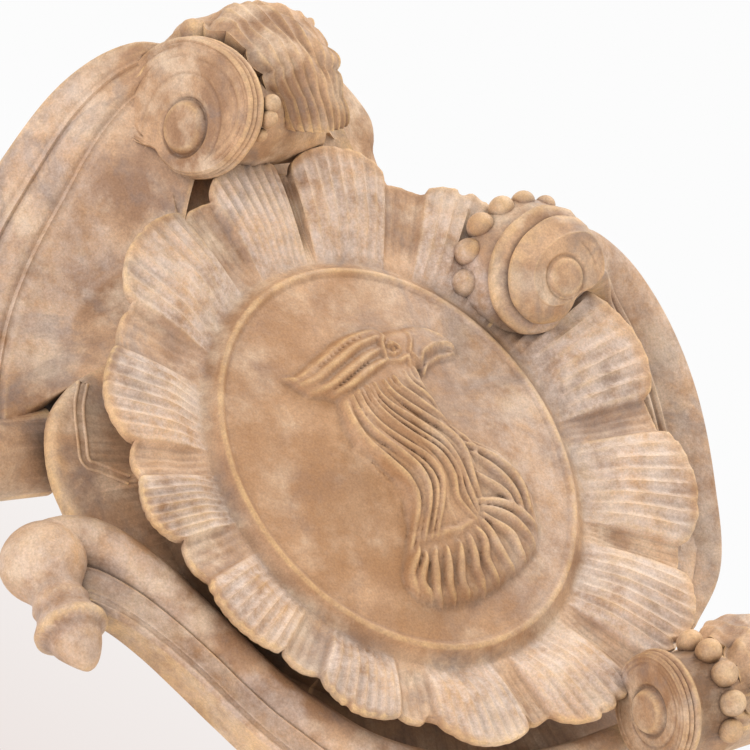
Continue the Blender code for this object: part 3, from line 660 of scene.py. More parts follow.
# %% [markdown]
# ## Wing and shoulder
#
# On the left a broad hollow wing sweeps down from the crest, and a smaller shoulder falls
# away on the right. Both are surfaces stretched between two rails. Across them the carver
# cut pairs of fine lines that follow the rails, so the lines are part of the cross-section.

# %% Hollow panels
WING_OUTER = (
    (-46, 243, 10), (-62, 248, 5), (-80, 248, -10), (-99, 240, -30), (-123, 219, -52),
    (-152, 188, -66), (-176, 152, -75), (-192, 114, -76), (-199, 78, -71), (-196, 48, -62),
)
WING_INNER = (
    (-36, 196, 8), (-44, 180, -4), (-52, 162, -16), (-60, 142, -26), (-76, 122, -34),
    (-92, 106, -38), (-104, 96, -42), (-114, 90, -46), (-124, 87, -50), (-134, 86, -53),
)
SHOULDER_OUTER = (
    (44, 243, -4), (60, 250, -16), (78, 246, -30), (94, 234, -40), (100, 224, -44),
    (99, 214, -46), (94, 202, -46), (100, 180, -50), (124, 158, -54), (150, 132, -58),
)
SHOULDER_INNER = (
    (38, 205, -4), (46, 198, -12), (54, 193, -18), (62, 190, -22), (66, 184, -26),
    (68, 178, -30), (70, 170, -32), (74, 160, -34), (84, 148, -38), (100, 132, -42),
)
PANEL_SPARE = 8.0
PANEL_HOLLOW = 5.0
PANEL_BEND = 9.0
LINE_SPREAD = 1.1            # half width of a fine line, in millimetres
BORDER_RISE = 1.5            # the border beyond the hollow stands up by this
BORDER_FALL = 2.5            # and its outer edge falls by this
# Share of the way across, and depth
WING_LINES = ((0.80, 2.2), (0.84, 1.8), (0.60, 1.7), (0.64, 1.5))
SHOULDER_LINES = ((0.72, 0.8), (0.8, 0.8))
# Share of the length where a double line turns in, how far in it reaches, and its depth
WING_CORNER = (0.8, 0.3, 1.3)
CORNER_SHIFTS = (0.0, 0.022)
WING_STATIONS = 76
WING_STEPS = 66


def panel_rings(outer, inner, lines, stations, steps, corner=None):
    """A hollow panel between two rails, with fine lines cut along it and a cut corner."""
    outer = curve(outer, stations)
    inner = curve(inner, stations)
    t = np.linspace(0.0, 1.0, steps + 1)
    rings = []
    for along, (a, b) in zip(np.linspace(0.0, 1.0, stations), zip(inner, outer)):
        width = np.linalg.norm(b - a)
        hollow = PANEL_HOLLOW * smoothstep(0.05, 0.35, along)
        h = a[2] + (b[2] - a[2]) * t - hollow * np.sin(math.pi * np.minimum(t / 0.62, 1.0))
        h = h + BORDER_RISE * smoothstep(0.62, 0.7, t) - BORDER_FALL * smoothstep(0.95, 1.0, t)
        h = h - PANEL_BEND * smoothstep(0.9, 1.0, along) ** 2
        for place, depth in lines:
            h = h - depth * np.exp(-((t - place) * width / LINE_SPREAD) ** 2)
        if corner:
            line_at, reaches_to, depth = corner
            for shift in CORNER_SHIFTS:
                past = smoothstep(reaches_to - 0.02, reaches_to, t)
                h = h - depth * past * np.exp(-((along - line_at - shift) / 0.006) ** 2)
        x = a[0] + (b[0] - a[0]) * t
        z = a[1] + (b[1] - a[1]) * t
        front = spots(x, z, h)
        back = [spots(p[0], p[1], -BACK_DEPTH - PANEL_SPARE) for p in (b, a)]
        rings.append(np.vstack([front, back]))
    return rings


wing = stack("wing", panel_rings(WING_OUTER, WING_INNER, WING_LINES, WING_STATIONS, WING_STEPS, WING_CORNER))
shoulder = stack("shoulder", panel_rings(SHOULDER_OUTER, SHOULDER_INNER, SHOULDER_LINES, 50, 28))

# %% Neck under the crest
NECK = ((148, -26, -58, 66), (176, -22, -56, 62), (202, -17, -52, 56), (224, -12, -48, 50),
        (240, -8, -46, 44))
NECK_SPARE = 6.0
NECK_HOLLOW = 4.0


def neck_object():
    rings = []
    for z, h, low, high in curve(NECK, 30):
        t = np.linspace(-1.0, 1.0, 25)
        front = spots(0.5 * (low + high) + 0.5 * (high - low) * t, z, h + NECK_HOLLOW * t * t)
        back = [spots(x, z, -BACK_DEPTH - NECK_SPARE) for x in (high, low)]
        rings.append(np.vstack([front, back]))
    return stack("neck", rings)


neck = neck_object()

# %% [markdown]
# ## Moulded ribbons
#
# A ribbon with a moulded face runs down the right side, and another sweeps along the bottom
# left. Each is a cross-section carried along a path. The section is given as a share of the
# half width, so the same moulding narrows and widens with the ribbon.

# %% Ribbons
RIGHT_ARM = (
    (130, 84, 31, 26, 44), (147, 95, 24, 32, 44), (166, 98, 11, 35, 42), (184, 88, -3, 37, 42),
    (196, 60, -12, 38, 42), (200, 24, -20, 38, 42), (198, -16, -30, 36, 42), (190, -56, -40, 34, 42),
    (166, -84, -46, 30, 42),
)
LEFT_STRAP = (
    (-192, -26, -20, 51, 14), (-181, -24, -18, 49, 22), (-170, -27, -17, 45, 26), (-154, -42, -16, 40, 30),
    (-140, -60, -16, 36, 34), (-126, -81, -16, 34, 38), (-113, -101, -17, 34, 38),
    (-98, -120, -18, 36, 38), (-66, -150, -20, 40, 38), (-16, -168, -24, 40, 36),
    (40, -172, -24, 38, 36), (84, -166, -18, 34, 36),
)
ARM_PROFILE = (
    (-1.0, -6.0), (-0.95, -1.0), (-0.88, 0.8), (-0.8, 0.6), (-0.74, -1.6), (-0.68, -2.4), (-0.62, -0.2),
    (-0.54, 0.6), (-0.46, -0.8), (-0.4, -4.6), (-0.28, -5.2), (-0.12, -3.4), (0.1, -1.2), (0.3, 0.2),
    (0.5, 0.9), (0.7, 1.0), (0.88, 0.2), (0.96, -1.4), (1.0, -6.0),
)
STRAP_PROFILE = (
    (-1.0, -3.0), (-0.96, -0.4), (-0.92, 0.7), (-0.88, 0.5), (-0.82, -0.6), (-0.7, -1.8), (-0.66, -2.4),
    (-0.62, -2.0), (-0.5, -2.6), (-0.3, -3.3), (-0.14, -3.2), (-0.1, -2.2), (-0.06, -3.2), (-0.02, -3.8),
    (0.02, -2.4), (0.1, 0.6), (0.2, 2.4), (0.35, 3.6), (0.5, 4.0), (0.65, 3.6), (0.8, 2.2), (0.93, -0.6),
    (1.0, -4.0),
)
STRAP_SWELL = 1.6
RIBBON_TAPER = 0.96
STRAP_LEAN = 0.15
STRAP_SIDES = (0.55, 1.0)


def ribbon_rings(path, profile, stations, lean=0.0, sides=(1.0, 1.0), swell=1.0):
    """A moulded ribbon; its moulding is deeper at the start by the factor swell."""
    line = curve(path, stations)
    fullest = line[:, 3].max()
    deeper = 1.0 + (swell - 1.0) * (1.0 - smoothstep(0.0, 0.3, np.linspace(0.0, 1.0, stations)))
    ahead = np.gradient(line[:, :2], axis=0)
    ahead /= np.linalg.norm(ahead, axis=1)[:, None]
    share, rise = np.array(profile).T
    fine = np.linspace(0, len(share) - 1, 3 * len(share))
    share = np.interp(fine, range(len(share)), share)
    rise = np.interp(fine, range(len(rise)), rise)
    rings = []
    for (x, z, h, width, thickness), along, depth_here in zip(line, ahead, deeper):
        side = np.array([-along[1], along[0]])
        reach = share * width / 2
        top = spots(x + side[0] * reach, z + side[1] * reach,
                    h + rise * depth_here * width / fullest + lean * reach)
        under = []
        for sign, depth in ((1, sides[1]), (-1, sides[0])):
            reach = sign * RIBBON_TAPER * width / 2
            under.append(spots(x + side[0] * reach, z + side[1] * reach,
                               h - thickness * depth + lean * reach))
        rings.append(np.vstack([top, under]))
    return rings


plate_line = stack("plate_line", ribbon_rings(PLATE_LINE, LINE_PROFILE, 50))
arm = stack("right_arm", ribbon_rings(RIGHT_ARM, ARM_PROFILE, 70))
strap = stack("left_strap", ribbon_rings(LEFT_STRAP, STRAP_PROFILE, 76, STRAP_LEAN, STRAP_SIDES, STRAP_SWELL))

# %% [markdown]
# ## Scroll ends
#
# A volute is a band rolled up like a sheet of paper. Its end shows a spiral that winds into
# a round eye. One function turns such a roll on an axis: rings round the eye, out to a
# contour that is a spiral, given as a radius for each angle, and then back along the side
# with mouldings like those of a turned column. The strap at the lower left ends in a plainer
# bulge with a broken tip, turned on a line like a baluster.

# %% Rolls on an axis
CREST_AXIS = (-0.95, 0.0, 0.3)
VOLUTE_AXIS = (-0.07, -0.5, 0.865)
LEFTWARDS = (-1.0, 0.0, 0.0)
CREST_FACE = (
    (-180, 22.5), (-150, 22), (-120, 23.5), (-105, 25), (-90, 27.5), (-75, 31), (-52, 37), (-40, 41),
    (-29, 44), (-15, 46), (2, 46), (17, 45), (34, 44), (51, 44.5), (76, 47), (99, 50), (120, 51), (140, 49),
    (155, 40), (165, 30), (172, 24),
)
VOLUTE_FACE = (
    (0, 24), (30, 27), (53, 28), (75, 24), (90, 22), (114, 19.8), (140, 19.6), (172, 20.2), (203, 20.6),
    (231, 18.7), (252, 15.8), (275, 13.4), (300, 12), (320, 13), (340, 18),
)
CREST_ROLL = dict(centre=(-58.4, 189.9, 14), axis=CREST_AXIS, face=CREST_FACE, eye=13.4, proud=2.6,
                  hollow=1.8, fillets=((2.2, 0.9), (4.6, 1.0), (9.5, 0.8)), grows=((0, 1), (360, 1)))
RIGHT_VOLUTE = dict(centre=(115.1, 73.0, 38), axis=VOLUTE_AXIS, face=VOLUTE_FACE, eye=9.9, proud=1.6,
                    hollow=1.2, fillets=((1.6, 0.7),),
                    grows=((0, 0), (40, 0), (65, 0.75), (90, 1), (235, 1), (275, 0.8), (310, 0.2), (330, 0)))
FOOT_ROLL = dict(centre=(70, -160, 22), axis=LEFTWARDS, face=((0, 28), (180, 28)), eye=11.0, proud=3.0,
                 hollow=1.6, fillets=((2.2, 0.9), (4.6, 1.0)), grows=((0, 1), (360, 1)))
WING_CURL = dict(centre=(-204, 67, -84), axis=LEFTWARDS, face=((0, 23), (180, 23)), eye=9.0, proud=2.0,
                 hollow=1.2, fillets=((2.2, 0.9),), grows=((0, 1), (360, 1)))
# Way back along the side, and swell beyond the contour; both scrolls start with one moulding
SCROLL_EDGE = (
    (0.8, 0.5), (1.6, -0.3), (2.4, 0.7), (3.4, 1.0), (4.2, 0.0), (5.0, 1.2), (6.5, 1.8), (8.0, 1.2),
    (9.0, -1.0),
)
CREST_SIDE = SCROLL_EDGE + (
    (10.0, -4.0), (14.0, -6.0), (22.0, -7.0), (30.0, -6.0), (45.0, -10.0), (60.0, -14.0), (76.0, -18.0),
)
VOLUTE_SIDE = (
    (0.6, 0.8), (2.0, 4.0), (4.0, 7.5), (6.0, 9.2), (7.5, 9.5), (9.0, 8.8), (10.0, 7.6), (10.8, 7.6),
    (11.6, 10.0), (13.0, 13.5), (15.0, 15.3), (17.0, 15.6), (19.0, 14.6), (20.5, 13.0), (21.5, 12.2),
    (23.0, 12.6), (24.5, 14.5), (27.0, 16.5), (30.0, 18.0), (33.0, 19.4), (36.0, 20.0), (39.0, 19.6),
    (42.0, 18.2), (46.0, 14.0), (50.0, 6.0),
)
FOOT_SIDE = SCROLL_EDGE + (
    (12.0, -2.0), (24.0, -1.0), (28.0, 0.5), (32.0, -1.0), (48.0, -3.0), (78.0, -6.0),
)
PLAIN_SIDE = ((0.8, 0.5), (2.0, 0.9), (6.0, 0.5), (14.0, 0.0), (30.0, 0.0), (62.0, 0.0))
ROLL_SIDES = 72
EYE_SHARES = (0.22, 0.45, 0.66, 0.8, 0.88, 0.94, 0.98, 1.0)
FACE_SHARES = np.concatenate([[0.02, 0.05, 0.09], np.linspace(0.13, 0.9, 26), [0.93, 0.96, 0.98, 1.0]])
SPIRAL_DEPTH = 0.9
EDGE_DROP = 1.2
FILLET_SPREAD = 0.65


def axis_frame(axis):
    """Unit axis and two directions square to it, in metres' space."""
    near = np.array([axis[0], -axis[2], axis[1]], float)
    near /= np.linalg.norm(near)
    guide = np.array([0.0, -1.0, 0.0] if abs(near[0]) > 0.9 else [1.0, 0.0, 0.0])
    first = guide - near.dot(guide) * near
    first /= np.linalg.norm(first)
    return near, first, np.cross(near, first)


def roll_object(name, side, centre, axis, face, eye, proud, hollow, fillets, grows):
    """A rolled end: eye, ring and spiral contour, then the moulded side behind them."""
    near, first, second = axis_frame(axis)
    middle = spots(*centre)
    around = np.linspace(0.0, math.tau, ROLL_SIDES, endpoint=False)
    spokes = np.cos(around)[:, None] * first + np.sin(around)[:, None] * second
    degrees = np.degrees(around)
    marks = np.array(face, float)
    marks = marks[np.argsort(marks[:, 0] % 360)]
    contour = np.interp(degrees, marks[:, 0] % 360, marks[:, 1], period=360)
    grow = np.interp(degrees, *np.array(grows, float).T)
    winding = (degrees - 180.0) % 360.0 / 360.0
    rings = []

    def ring(reach, height):
        heights = np.broadcast_to(height, reach.shape)[:, None]
        rings.append(middle + near * MM * heights + spokes * reach[:, None] * MM)

    for part in EYE_SHARES:
        ring(np.full(ROLL_SIDES, eye * part), proud * (1.0 - smoothstep(0.86, 1.04, part)))
    for part in FACE_SHARES:
        reach = eye + (contour - eye) * part
        inward = contour - reach
        moat = -hollow * np.exp(-((reach - eye - 1.2) / 1.1) ** 2)
        inner_turn = eye * (1.45 + 0.9 * winding)
        room = smoothstep(3.0, 9.0, contour - inner_turn)
        spiral = -SPIRAL_DEPTH * np.exp(-((reach - inner_turn) / 0.9) ** 2) * room
        lines = sum(-depth * np.exp(-((inward - place) / FILLET_SPREAD) ** 2) for place, depth in fillets)
        edge = -EDGE_DROP * smoothstep(1.2, 0.0, inward)
        ring(reach, moat + spiral + lines * smoothstep(12.0, 24.0, contour - eye) + edge)
    for back, swell in side:
        ring(contour + swell * grow, -back - EDGE_DROP)
    tip = middle + near * MM * proud
    return stack(name, rings, tip, middle - near * (side[-1][0] + EDGE_DROP) * MM)


crest_roll = roll_object("crest_roll", CREST_SIDE, **CREST_ROLL)
volute = roll_object("right_volute", VOLUTE_SIDE, **RIGHT_VOLUTE)
foot_roll = roll_object("foot_roll", FOOT_SIDE, **FOOT_ROLL)
wing_curl = roll_object("wing_curl", PLAIN_SIDE, **WING_CURL)

# %% The turned end of the strap
STRAP_END = dict(start=(-191.6, 0.3, -32.1), end=(-197.9, -81.2, -12.9), profile=(
    (0, 1.5), (1.5, 7), (5, 13.5), (10, 18.2), (16, 20.7), (22, 20.8), (28, 18.8), (33, 15.6), (37, 13.2),
    (40, 12.4), (43, 13), (45, 14), (47, 13.6), (49, 13.2), (53, 14.2), (57, 16.4), (59.5, 17.8),
    (61.5, 17.6), (63, 15.5), (64.5, 13), (70, 12.4), (76, 10.2), (81, 6.5), (84, 2),
))
BREAK_FROM = 64.0
BREAK_DEPTH = 0.4


def turned_object(name, start, end, profile, stations=44):
    """A form turned on the line from start to end; the profile is (way along, radius)."""
    near = spots(*start) - spots(*end)
    near /= np.linalg.norm(near)
    first = np.cross(near, (1.0, 0.0, 0.0))
    first /= np.linalg.norm(first)
    around = np.linspace(0.0, math.tau, ROLL_SIDES, endpoint=False)
    spokes = np.cos(around)[:, None] * first + np.sin(around)[:, None] * np.cross(near, first)
    rings = []
    for way, radius in curve(profile, stations):
        broken = BREAK_DEPTH * smoothstep(BREAK_FROM, profile[-1][0], way)
        reach = radius * (1.0 - broken * (0.5 + 0.5 * np.sin(2 * around + 0.6)))
        rings.append(spots(*start) - near * way * MM + spokes * reach[:, None] * MM)
    return stack(name, rings)


rolls = [crest_roll, volute, foot_roll, wing_curl, turned_object("strap_end", **STRAP_END)]

# %% [markdown]
# ## Acanthus leaves
#
# A leaf is draped over the crest roll and another over the foot. Across each leaf run hollow
# folds with sharp ribs between them, and its edge is cut into rounded lobes with a notch
# between each pair. The leaf is bent round the axis of its roll, so its folds go with it.

# %% Leaves
CREST_LEAF = dict(centre=(204, 8), back=(-52, 19), tip=(-17, 23), reach=(50, 52, 45), angles=(118, -50),
                  folds=9, lobes=8)
FOOT_LEAF = dict(centre=(-160, 22), back=(112, 152), tip=(108, 150), reach=(38, 39, 33), angles=(120, -40),
                 folds=6, lobes=6)
LEAF_THICKNESS = 14.0
LEAF_ARCH = 9.0
LEAF_FOLD = 2.4
LEAF_LOBE = 4.0
LEAF_LUMP = 3.0
LEAF_UNEVEN = 0.35
LEAF_SWAY = 0.12


def leaf_object(name, centre, back, tip, reach, angles, folds, lobes):
    cz, ch = centre
    rings = []
    c = np.linspace(0.0, 1.0, 8 * folds + 1)
    for t in np.linspace(0.0, 1.0, 8 * lobes + 1):
        angle = math.radians(angles[0] + (angles[1] - angles[0]) * t)
        uneven = 1.0 + LEAF_UNEVEN * math.sin(7.3 * t * lobes / 3)
        scallop = LEAF_LOBE * uneven * (1.0 - 0.5 * t) * (abs(math.sin(math.pi * lobes * t)) ** 0.6 - 0.5)
        low = back[0] + (tip[0] - back[0]) * t - scallop
        high = back[1] + (tip[1] - back[1]) * t + scallop
        height = np.interp(t, (0.0, 0.35, 0.85, 1.0), (*reach, reach[2] + 4.0))
        sway = LEAF_SWAY * math.sin(3.0 * t + 0.4)
        fold = np.abs(np.sin(math.pi * folds * (c + sway * c * (1 - c)))) ** 0.7
        lump = LEAF_LUMP * (1.0 - 0.85 * t) * uneven * np.sin(math.pi * (lobes * t + 1.2 * np.sin(5.0 * c)))
        top = height - LEAF_ARCH * (2 * c - 1) ** 2 + LEAF_FOLD * (0.3 + 0.7 * t) * (0.6 - fold) + lump
        under = (height - LEAF_ARCH * (2 * c - 1) ** 2 - LEAF_THICKNESS)[::-4]
        x = low + (high - low) * c
        ring = spots(x, cz + top * math.sin(angle), ch + top * math.cos(angle))
        hidden = spots(x[::-4], cz + under * math.sin(angle), ch + under * math.cos(angle))
        rings.append(np.vstack([ring, hidden]))
    return stack(name, rings)


leaves = [leaf_object("crest_leaf", **CREST_LEAF), leaf_object("foot_leaf", **FOOT_LEAF)]

# %% [markdown]
# ## Beads
#
# Rows of beads sit round the scrolls. A row is the same small ball repeated along an arc, and
# that is what Geometry Nodes do best. The tree below takes the points of an arc, puts a ball
# on each one, makes the copies real and gives them the stone. Its sizes are named inputs, so
# one tree makes all three rows. The result is then copied out as a plain mesh.

# %% The stone, empty for now
alabaster = bpy.data.materials.new("honed_alabaster")
alabaster.use_nodes = True


# %% Bead tree
def bead_tree():
    tree = bpy.data.node_groups.new("beads_on_points", "GeometryNodeTree")
    face = tree.interface
    face.new_socket("Geometry", in_out="INPUT", socket_type="NodeSocketGeometry")
    face.new_socket("Long", in_out="INPUT", socket_type="NodeSocketFloat")
    face.new_socket("Uneven", in_out="INPUT", socket_type="NodeSocketFloat")
    face.new_socket("Seed", in_out="INPUT", socket_type="NodeSocketInt")
    face.new_socket("Stone", in_out="INPUT", socket_type="NodeSocketMaterial")
    face.new_socket("Geometry", in_out="OUTPUT", socket_type="NodeSocketGeometry")
    given = add_node(tree, "NodeGroupInput")
    ball = add_node(tree, "GeometryNodeMeshUVSphere", {"Segments": 22, "Rings": 14, "Radius": 1.0})
    least = add_node(tree, "ShaderNodeMath", {0: 1.0, 1: given.outputs[2]}, operation="SUBTRACT")
    most = add_node(tree, "ShaderNodeMath", {0: 1.0, 1: given.outputs[2]}, operation="ADD")
    chance = add_node(tree, "FunctionNodeRandomValue", {"Seed": given.outputs[3]}, data_type="FLOAT")
    tree.links.new(least.outputs[0], chance.inputs[2])
    tree.links.new(most.outputs[0], chance.inputs[3])
    radius = add_node(tree, "GeometryNodeInputNamedAttribute", {"Name": "bead_radius"}, data_type="FLOAT")
    size = add_node(tree, "ShaderNodeMath", {0: radius.outputs["Attribute"], 1: chance.outputs[1]},
                    operation="MULTIPLY")
    tall = add_node(tree, "ShaderNodeMath", {0: size.outputs[0], 1: given.outputs[1]}, operation="MULTIPLY")
    shape = add_node(tree, "ShaderNodeCombineXYZ",
                     {0: size.outputs[0], 1: tall.outputs[0], 2: size.outputs[0]})
    copies = add_node(tree, "GeometryNodeInstanceOnPoints",
                      {"Points": given.outputs[0], "Instance": ball.outputs[0], "Scale": shape.outputs[0]})
    real = add_node(tree, "GeometryNodeRealizeInstances", {0: copies.outputs[0]})
    stone = add_node(tree, "GeometryNodeSetMaterial",
                     {"Geometry": real.outputs[0], "Material": given.outputs[4]})
    add_node(tree, "NodeGroupOutput", {0: stone.outputs[0]})
    return tree


def plain_mesh(obj, tree, values):
    """Runs a Geometry Nodes tree on an object and keeps the result as a plain mesh."""
    modifier = obj.modifiers.new(tree.name, "NODES")
    modifier.node_group = tree
    for item in tree.interface.items_tree:
        if item.in_out == "INPUT" and item.name in values:
            modifier[item.identifier] = values[item.name]
    bpy.context.scene.collection.objects.link(obj)
    bpy.context.view_layer.update()
    graph = bpy.context.evaluated_depsgraph_get()
    mesh = bpy.data.meshes.new_from_object(obj.evaluated_get(graph), depsgraph=graph)
    obj.modifiers.remove(modifier)
    bpy.context.scene.collection.objects.unlink(obj)
    old = obj.data
    obj.data = mesh
    bpy.data.meshes.remove(old)
    print(obj.name, "has", len(mesh.polygons), "faces")
    return obj


# Name, roll, way behind its face, then angle, reach and radius of each bead
BEAD_ROWS = (
    ("crest_beads", CREST_ROLL, 15.0, ((-16, 46.5, 4.6), (-25, 44, 4.6), (-36, 39, 3.4))),
    ("volute_beads", RIGHT_VOLUTE, 37.0, ((180, 38.5, 7.2), (156, 38.5, 7.2), (133, 39, 7.0), (110, 39, 6.6),
                                          (90, 39, 6.2), (70, 39, 5.7), (50, 38.5, 5.0))),
    ("foot_beads", FOOT_ROLL, 28.0, ((60, 30, 6.2), (32, 30, 6.4), (3, 30, 6.4), (-25, 30, 6.2),
                                     (-52, 29, 5.8))),
)
tree = bead_tree()
bead_rows = []
for name, roll, offset, row in BEAD_ROWS:
    near, first, second = axis_frame(roll["axis"])
    a, reach, radius = np.array(row, float).T
    a = np.radians(a)[:, None]
    line = spots(*roll["centre"]) - near * offset * MM
    line = line + reach[:, None] * MM * (np.cos(a) * first + np.sin(a) * second)
    mesh = bpy.data.meshes.new(name)
    mesh.from_pydata(line.tolist(), [], [])
    sizes = mesh.attributes.new("bead_radius", "FLOAT", "POINT")
    sizes.data.foreach_set("value", (radius * MM).astype(np.float32))
    values = {"Long": 1.15, "Uneven": 0.05, "Seed": 3, "Stone": alabaster}
    bead_rows.append(plain_mesh(bpy.data.objects.new(name, mesh), tree, values))

# %% [markdown]
# ## One stone
#
# Now all forms are joined into one closed skin, and the spare stone behind the back plane is
# sawn off. The Manifold solver does this in seconds, even at this density.

# %% Join and saw
SAW_REACH = 400.0
carving = face
pieces = bpy.data.collections.new("pieces")
for piece in [plate, plate_line, wing, shoulder, neck, arm, strap] + rolls + leaves + bead_rows:
    pieces.objects.link(piece)
side = SAW_REACH
block = stack("saw", [spots([-side, side, side, -side], [-side, -side, side, side], h)
                      for h in (-BACK_DEPTH, -BACK_DEPTH - 2 * BACK_SPARE)])
bpy.context.scene.collection.children.link(pieces)
bpy.context.scene.collection.objects.link(block)
bpy.context.scene.collection.objects.link(carving)
join = carving.modifiers.new("join", "BOOLEAN")
join.operation = "UNION"
join.solver = "MANIFOLD"
join.operand_type = "COLLECTION"
join.collection = pieces
saw = carving.modifiers.new("saw", "BOOLEAN")
saw.operation = "DIFFERENCE"
saw.solver = "MANIFOLD"
saw.object = block
graph = bpy.context.evaluated_depsgraph_get()
whole = bpy.data.meshes.new_from_object(carving.evaluated_get(graph), depsgraph=graph)
carving.modifiers.clear()
carving.data = whole
for piece in list(pieces.objects) + [block]:
    bpy.data.objects.remove(piece)
bpy.data.collections.remove(pieces)
carving.name = "cartouche_carving"
whole.materials.clear()
whole.materials.append(alabaster)
whole.shade_smooth()
whole.set_sharp_from_angle(angle=math.radians(55))
whole.calc_loop_triangles()
print("one stone with", len(whole.loop_triangles), "triangles")

# %% Paint weathering, painted light and painted shade onto the vertices
points = np.empty(len(whole.vertices) * 3)
whole.vertices.foreach_get("co", points)
points = points.reshape(-1, 3) / MM
x, z, h = points[:, 0], points[:, 2], -points[:, 1] - BACK_DEPTH
order = np.argsort(directions % math.tau)
ring_angles = (directions % math.tau)[order]
angle = np.arctan2(z, x) % math.tau
reach_here = np.interp(angle, ring_angles, crown[order], period=math.tau)
foot_here = np.interp(angle, ring_angles, foot[order], period=math.tau)
pale_here = np.interp(angle, ring_angles, columns[order, 5], period=math.tau)
share = (np.hypot(x, z) - foot_here) / (reach_here - foot_here)
on_ruffle = smoothstep(-3.0, 0.0, h) * smoothstep(19.0, 16.0, h)
on_ruffle = on_ruffle * smoothstep(-0.05, 0.05, share) * (1.0 - smoothstep(0.88, 0.97, share))
off_ruffle = smoothstep(1.0, 1.06, share)
on_boss = smoothstep(1.06, 0.98, np.hypot(2 * x / BOSS_WIDTH, 2 * z / BOSS_HEIGHT))
on_boss = on_boss * smoothstep(-2.0, 0.0, h)
# Brown rubbed tone on the boss, stronger on its left, where it is also painted shade
rubbed_and_shaded = on_boss * (1.0 - 0.75 * smoothstep(-10.0, 70.0, x))
strap_front = smoothstep(20.0, -20.0, x) * smoothstep(-36.0, -30.0, h)
# How much paleness, and where: dust on the shell, and painted light on the wing, strap, right ribbon and the
# right of the boss
dust_and_painted_light = (
    (1.0, on_ruffle * (0.25 + 0.75 * pale_here)),
    (0.55, off_ruffle * smoothstep(-75.0, -90.0, x) * smoothstep(80.0, 120.0, z)),
    (0.6, off_ruffle * smoothstep(10.0, -20.0, z) * strap_front),
    (0.6, off_ruffle * smoothstep(110.0, 130.0, x) * smoothstep(-60.0, -40.0, h)),
    (0.55, on_boss * smoothstep(0.0, 70.0, x)),
)
# Chalky dust on the shell; on the wing, strap, right ribbon and right of the boss the same pale colour is
# painted light
pale = np.max([amount * place for amount, place in dust_and_painted_light], axis=0)
handled_and_shaded = whole.attributes.new("handled_and_shaded", "FLOAT", "POINT")
handled_and_shaded.data.foreach_set("value", rubbed_and_shaded.astype(np.float32))
layer = whole.attributes.new("pale", "FLOAT", "POINT")
layer.data.foreach_set("value", pale.astype(np.float32))
print("pale dust on", int((pale > 0.5).sum()), "points")

# %% [markdown]
# ## Alabaster
#
# Alabaster is a soft, slightly see-through stone. This piece is honed, not polished, and has
# been handled for a long time: honey brown with grey-mauve veins, golden where the edges are
# worn and where a painted highlight stands for light through the thin stone, chalky in the
# hollows of the shell, and dark in its deepest corners and creases from dirt and painted shade.
# Painted light also brightens the wing, the strap, the right ribbon and the right of the boss,
# and painted shade darkens the boss's left.

# %% The stone's material
tree = alabaster.node_tree
shader = tree.nodes["Principled BSDF"]
where = add_node(tree, "ShaderNodeTexCoord")
metres = where.outputs["Object"]


def noise(scale_mm, detail=4.0, rough=0.55, distortion=0.0):
    """Noise whose features are about this many millimetres across."""
    return add_node(tree, "ShaderNodeTexNoise", {"Vector": metres, "Scale": 1.0 / (scale_mm * MM),
                                                 "Detail": detail, "Roughness": rough,
                                                 "Distortion": distortion}).outputs["Fac"]


def ramp(value, low, high):
    return add_node(tree, "ShaderNodeMapRange", {0: value, 1: low, 2: high, 3: 0.0, 4: 1.0}).outputs[0]


def blend(amount, under, over, blend_type="MIX"):
    return add_node(tree, "ShaderNodeMix", {0: amount, 6: under, 7: over}, data_type="RGBA",
                    blend_type=blend_type).outputs[2]


def times(a, b):
    return add_node(tree, "ShaderNodeMath", {0: a, 1: b}, operation="MULTIPLY", use_clamp=True).outputs[0]


HONEY = screen_colour("#cda680")
BROWN = screen_colour("#9c7655")
CREAM = screen_colour("#dcc3a6")
MAUVE = screen_colour("#87766c")
CHALK_AND_LIGHT = screen_colour("#d8c5b6")
GOLD = screen_colour("#efc88c")
HANDLED_AND_SHADED = screen_colour("#9c6f43")
RUST = screen_colour("#6b3d14")
DIRT_AND_SHADE = screen_colour("#3d2c1e")
colour = blend(ramp(noise(48, 6, 0.62), 0.4, 0.6), HONEY, BROWN)
colour = blend(times(ramp(noise(30, 6, 0.62), 0.48, 0.66), 0.85), colour, CREAM)
band = noise(60, 5, 0.58, 0.8)
vein = times(ramp(band, 0.44, 0.5), ramp(band, 0.57, 0.51))
colour = blend(times(times(vein, ramp(noise(80, 2), 0.44, 0.6)), 0.6), colour, MAUVE)
colour = blend(times(ramp(noise(19, 6, 0.7), 0.52, 0.7), 0.55), colour, MAUVE)
colour = blend(times(ramp(noise(7, 5, 0.7), 0.5, 0.72), 0.4), colour, BROWN)
# The boss's brown, darker on its left as painted shade
handled_and_shaded = add_node(tree, "ShaderNodeAttribute", attribute_name="handled_and_shaded").outputs["Fac"]
colour = blend(times(times(handled_and_shaded, ramp(noise(34, 5, 0.6), 0.24, 0.56)), 0.8), colour, HANDLED_AND_SHADED)
# Chalky dust on the shell, and painted light on the wing, strap, right ribbon and the right of the boss
pale_dust_and_light = add_node(tree, "ShaderNodeAttribute", attribute_name="pale").outputs["Fac"]
colour = blend(times(times(pale_dust_and_light, ramp(noise(11, 6, 0.75), 0.36, 0.66)), 0.85), colour, CHALK_AND_LIGHT)
shape = add_node(tree, "ShaderNodeNewGeometry")
bent = shape.outputs["Pointiness"]
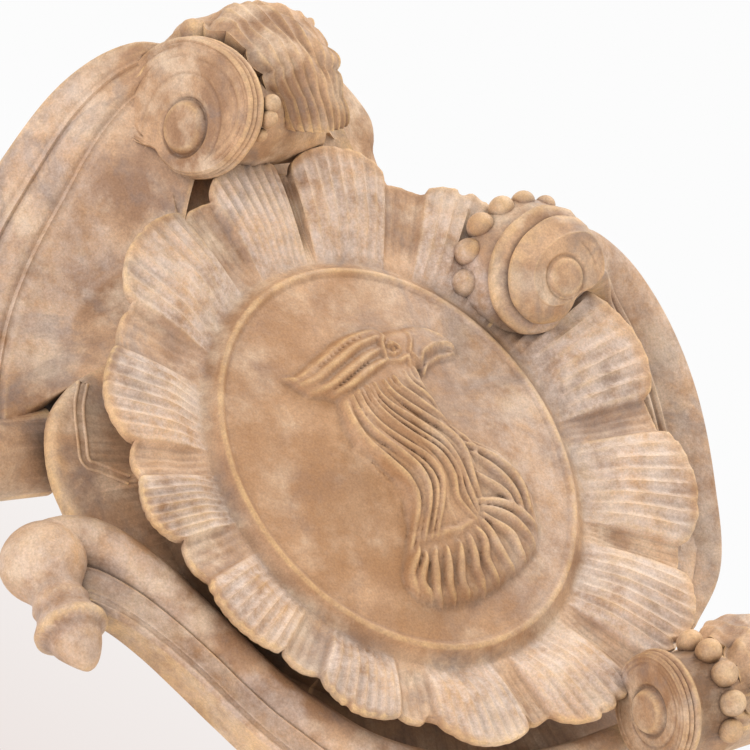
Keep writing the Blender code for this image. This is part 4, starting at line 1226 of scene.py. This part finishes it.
# Sharp convex edges turn gold: wear, and a painted highlight for light glowing through the thin stone
worn_and_lit_edge = times(ramp(bent, 0.505, 0.58), ramp(noise(9, 5, 0.7), 0.3, 0.62))
colour = blend(times(worn_and_lit_edge, 0.7), colour, GOLD)
# Hollow creases darken: dirt, and painted shade
colour = blend(times(ramp(bent, 0.495, 0.42), 0.6), colour, DIRT_AND_SHADE)
# A rust stain sits in a small hole between two lobes at the top of the shell
STAIN = Vector((2.6, -BACK_DEPTH, 171.8)) * MM
from_stain = add_node(tree, "ShaderNodeVectorMath", {0: metres, 1: STAIN}, operation="DISTANCE")
stained = times(ramp(from_stain.outputs["Value"], 0.012, 0.004), ramp(noise(4, 4, 0.7), 0.36, 0.52))
colour = blend(times(stained, 0.9), colour, RUST)
# Deep corners darken by occlusion: dirt, and painted shade
corner = add_node(tree, "ShaderNodeAmbientOcclusion", {"Distance": 0.016}, samples=6).outputs["AO"]
colour = blend(times(ramp(corner, 0.7, 0.15), 0.8), colour, DIRT_AND_SHADE)
# The real grain is finer than a pixel, so it is drawn at about a millimetre
grain = add_node(tree, "ShaderNodeMapRange",
                 {0: noise(1.1, 3, 0.7), 1: 0.3, 2: 0.7, 3: 0.8, 4: 1.14}).outputs[0]
grey = add_node(tree, "ShaderNodeCombineColor", {0: grain, 1: grain, 2: grain}).outputs[0]
colour = blend(1.0, colour, grey, "MULTIPLY")
tree.links.new(colour, shader.inputs["Base Color"])
tree.links.new(add_node(tree, "ShaderNodeMapRange", {0: noise(9, 4), 3: 0.45, 4: 0.68}).outputs[0],
               shader.inputs["Roughness"])
shader.inputs["IOR"].default_value = 1.52
fine = add_node(tree, "ShaderNodeBump",
                {"Strength": 0.35, "Distance": 0.0006, "Height": noise(1.6, 6, 0.65)})
broad = add_node(tree, "ShaderNodeBump", {"Strength": 0.4, "Distance": 0.0015, "Height": noise(7, 4),
                                          "Normal": fine.outputs[0]})
tree.links.new(broad.outputs[0], shader.inputs["Normal"])
print("alabaster uses", len(tree.nodes), "nodes")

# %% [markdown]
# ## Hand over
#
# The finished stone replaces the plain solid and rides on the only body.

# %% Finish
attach(carving, "root")
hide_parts("cartouche")
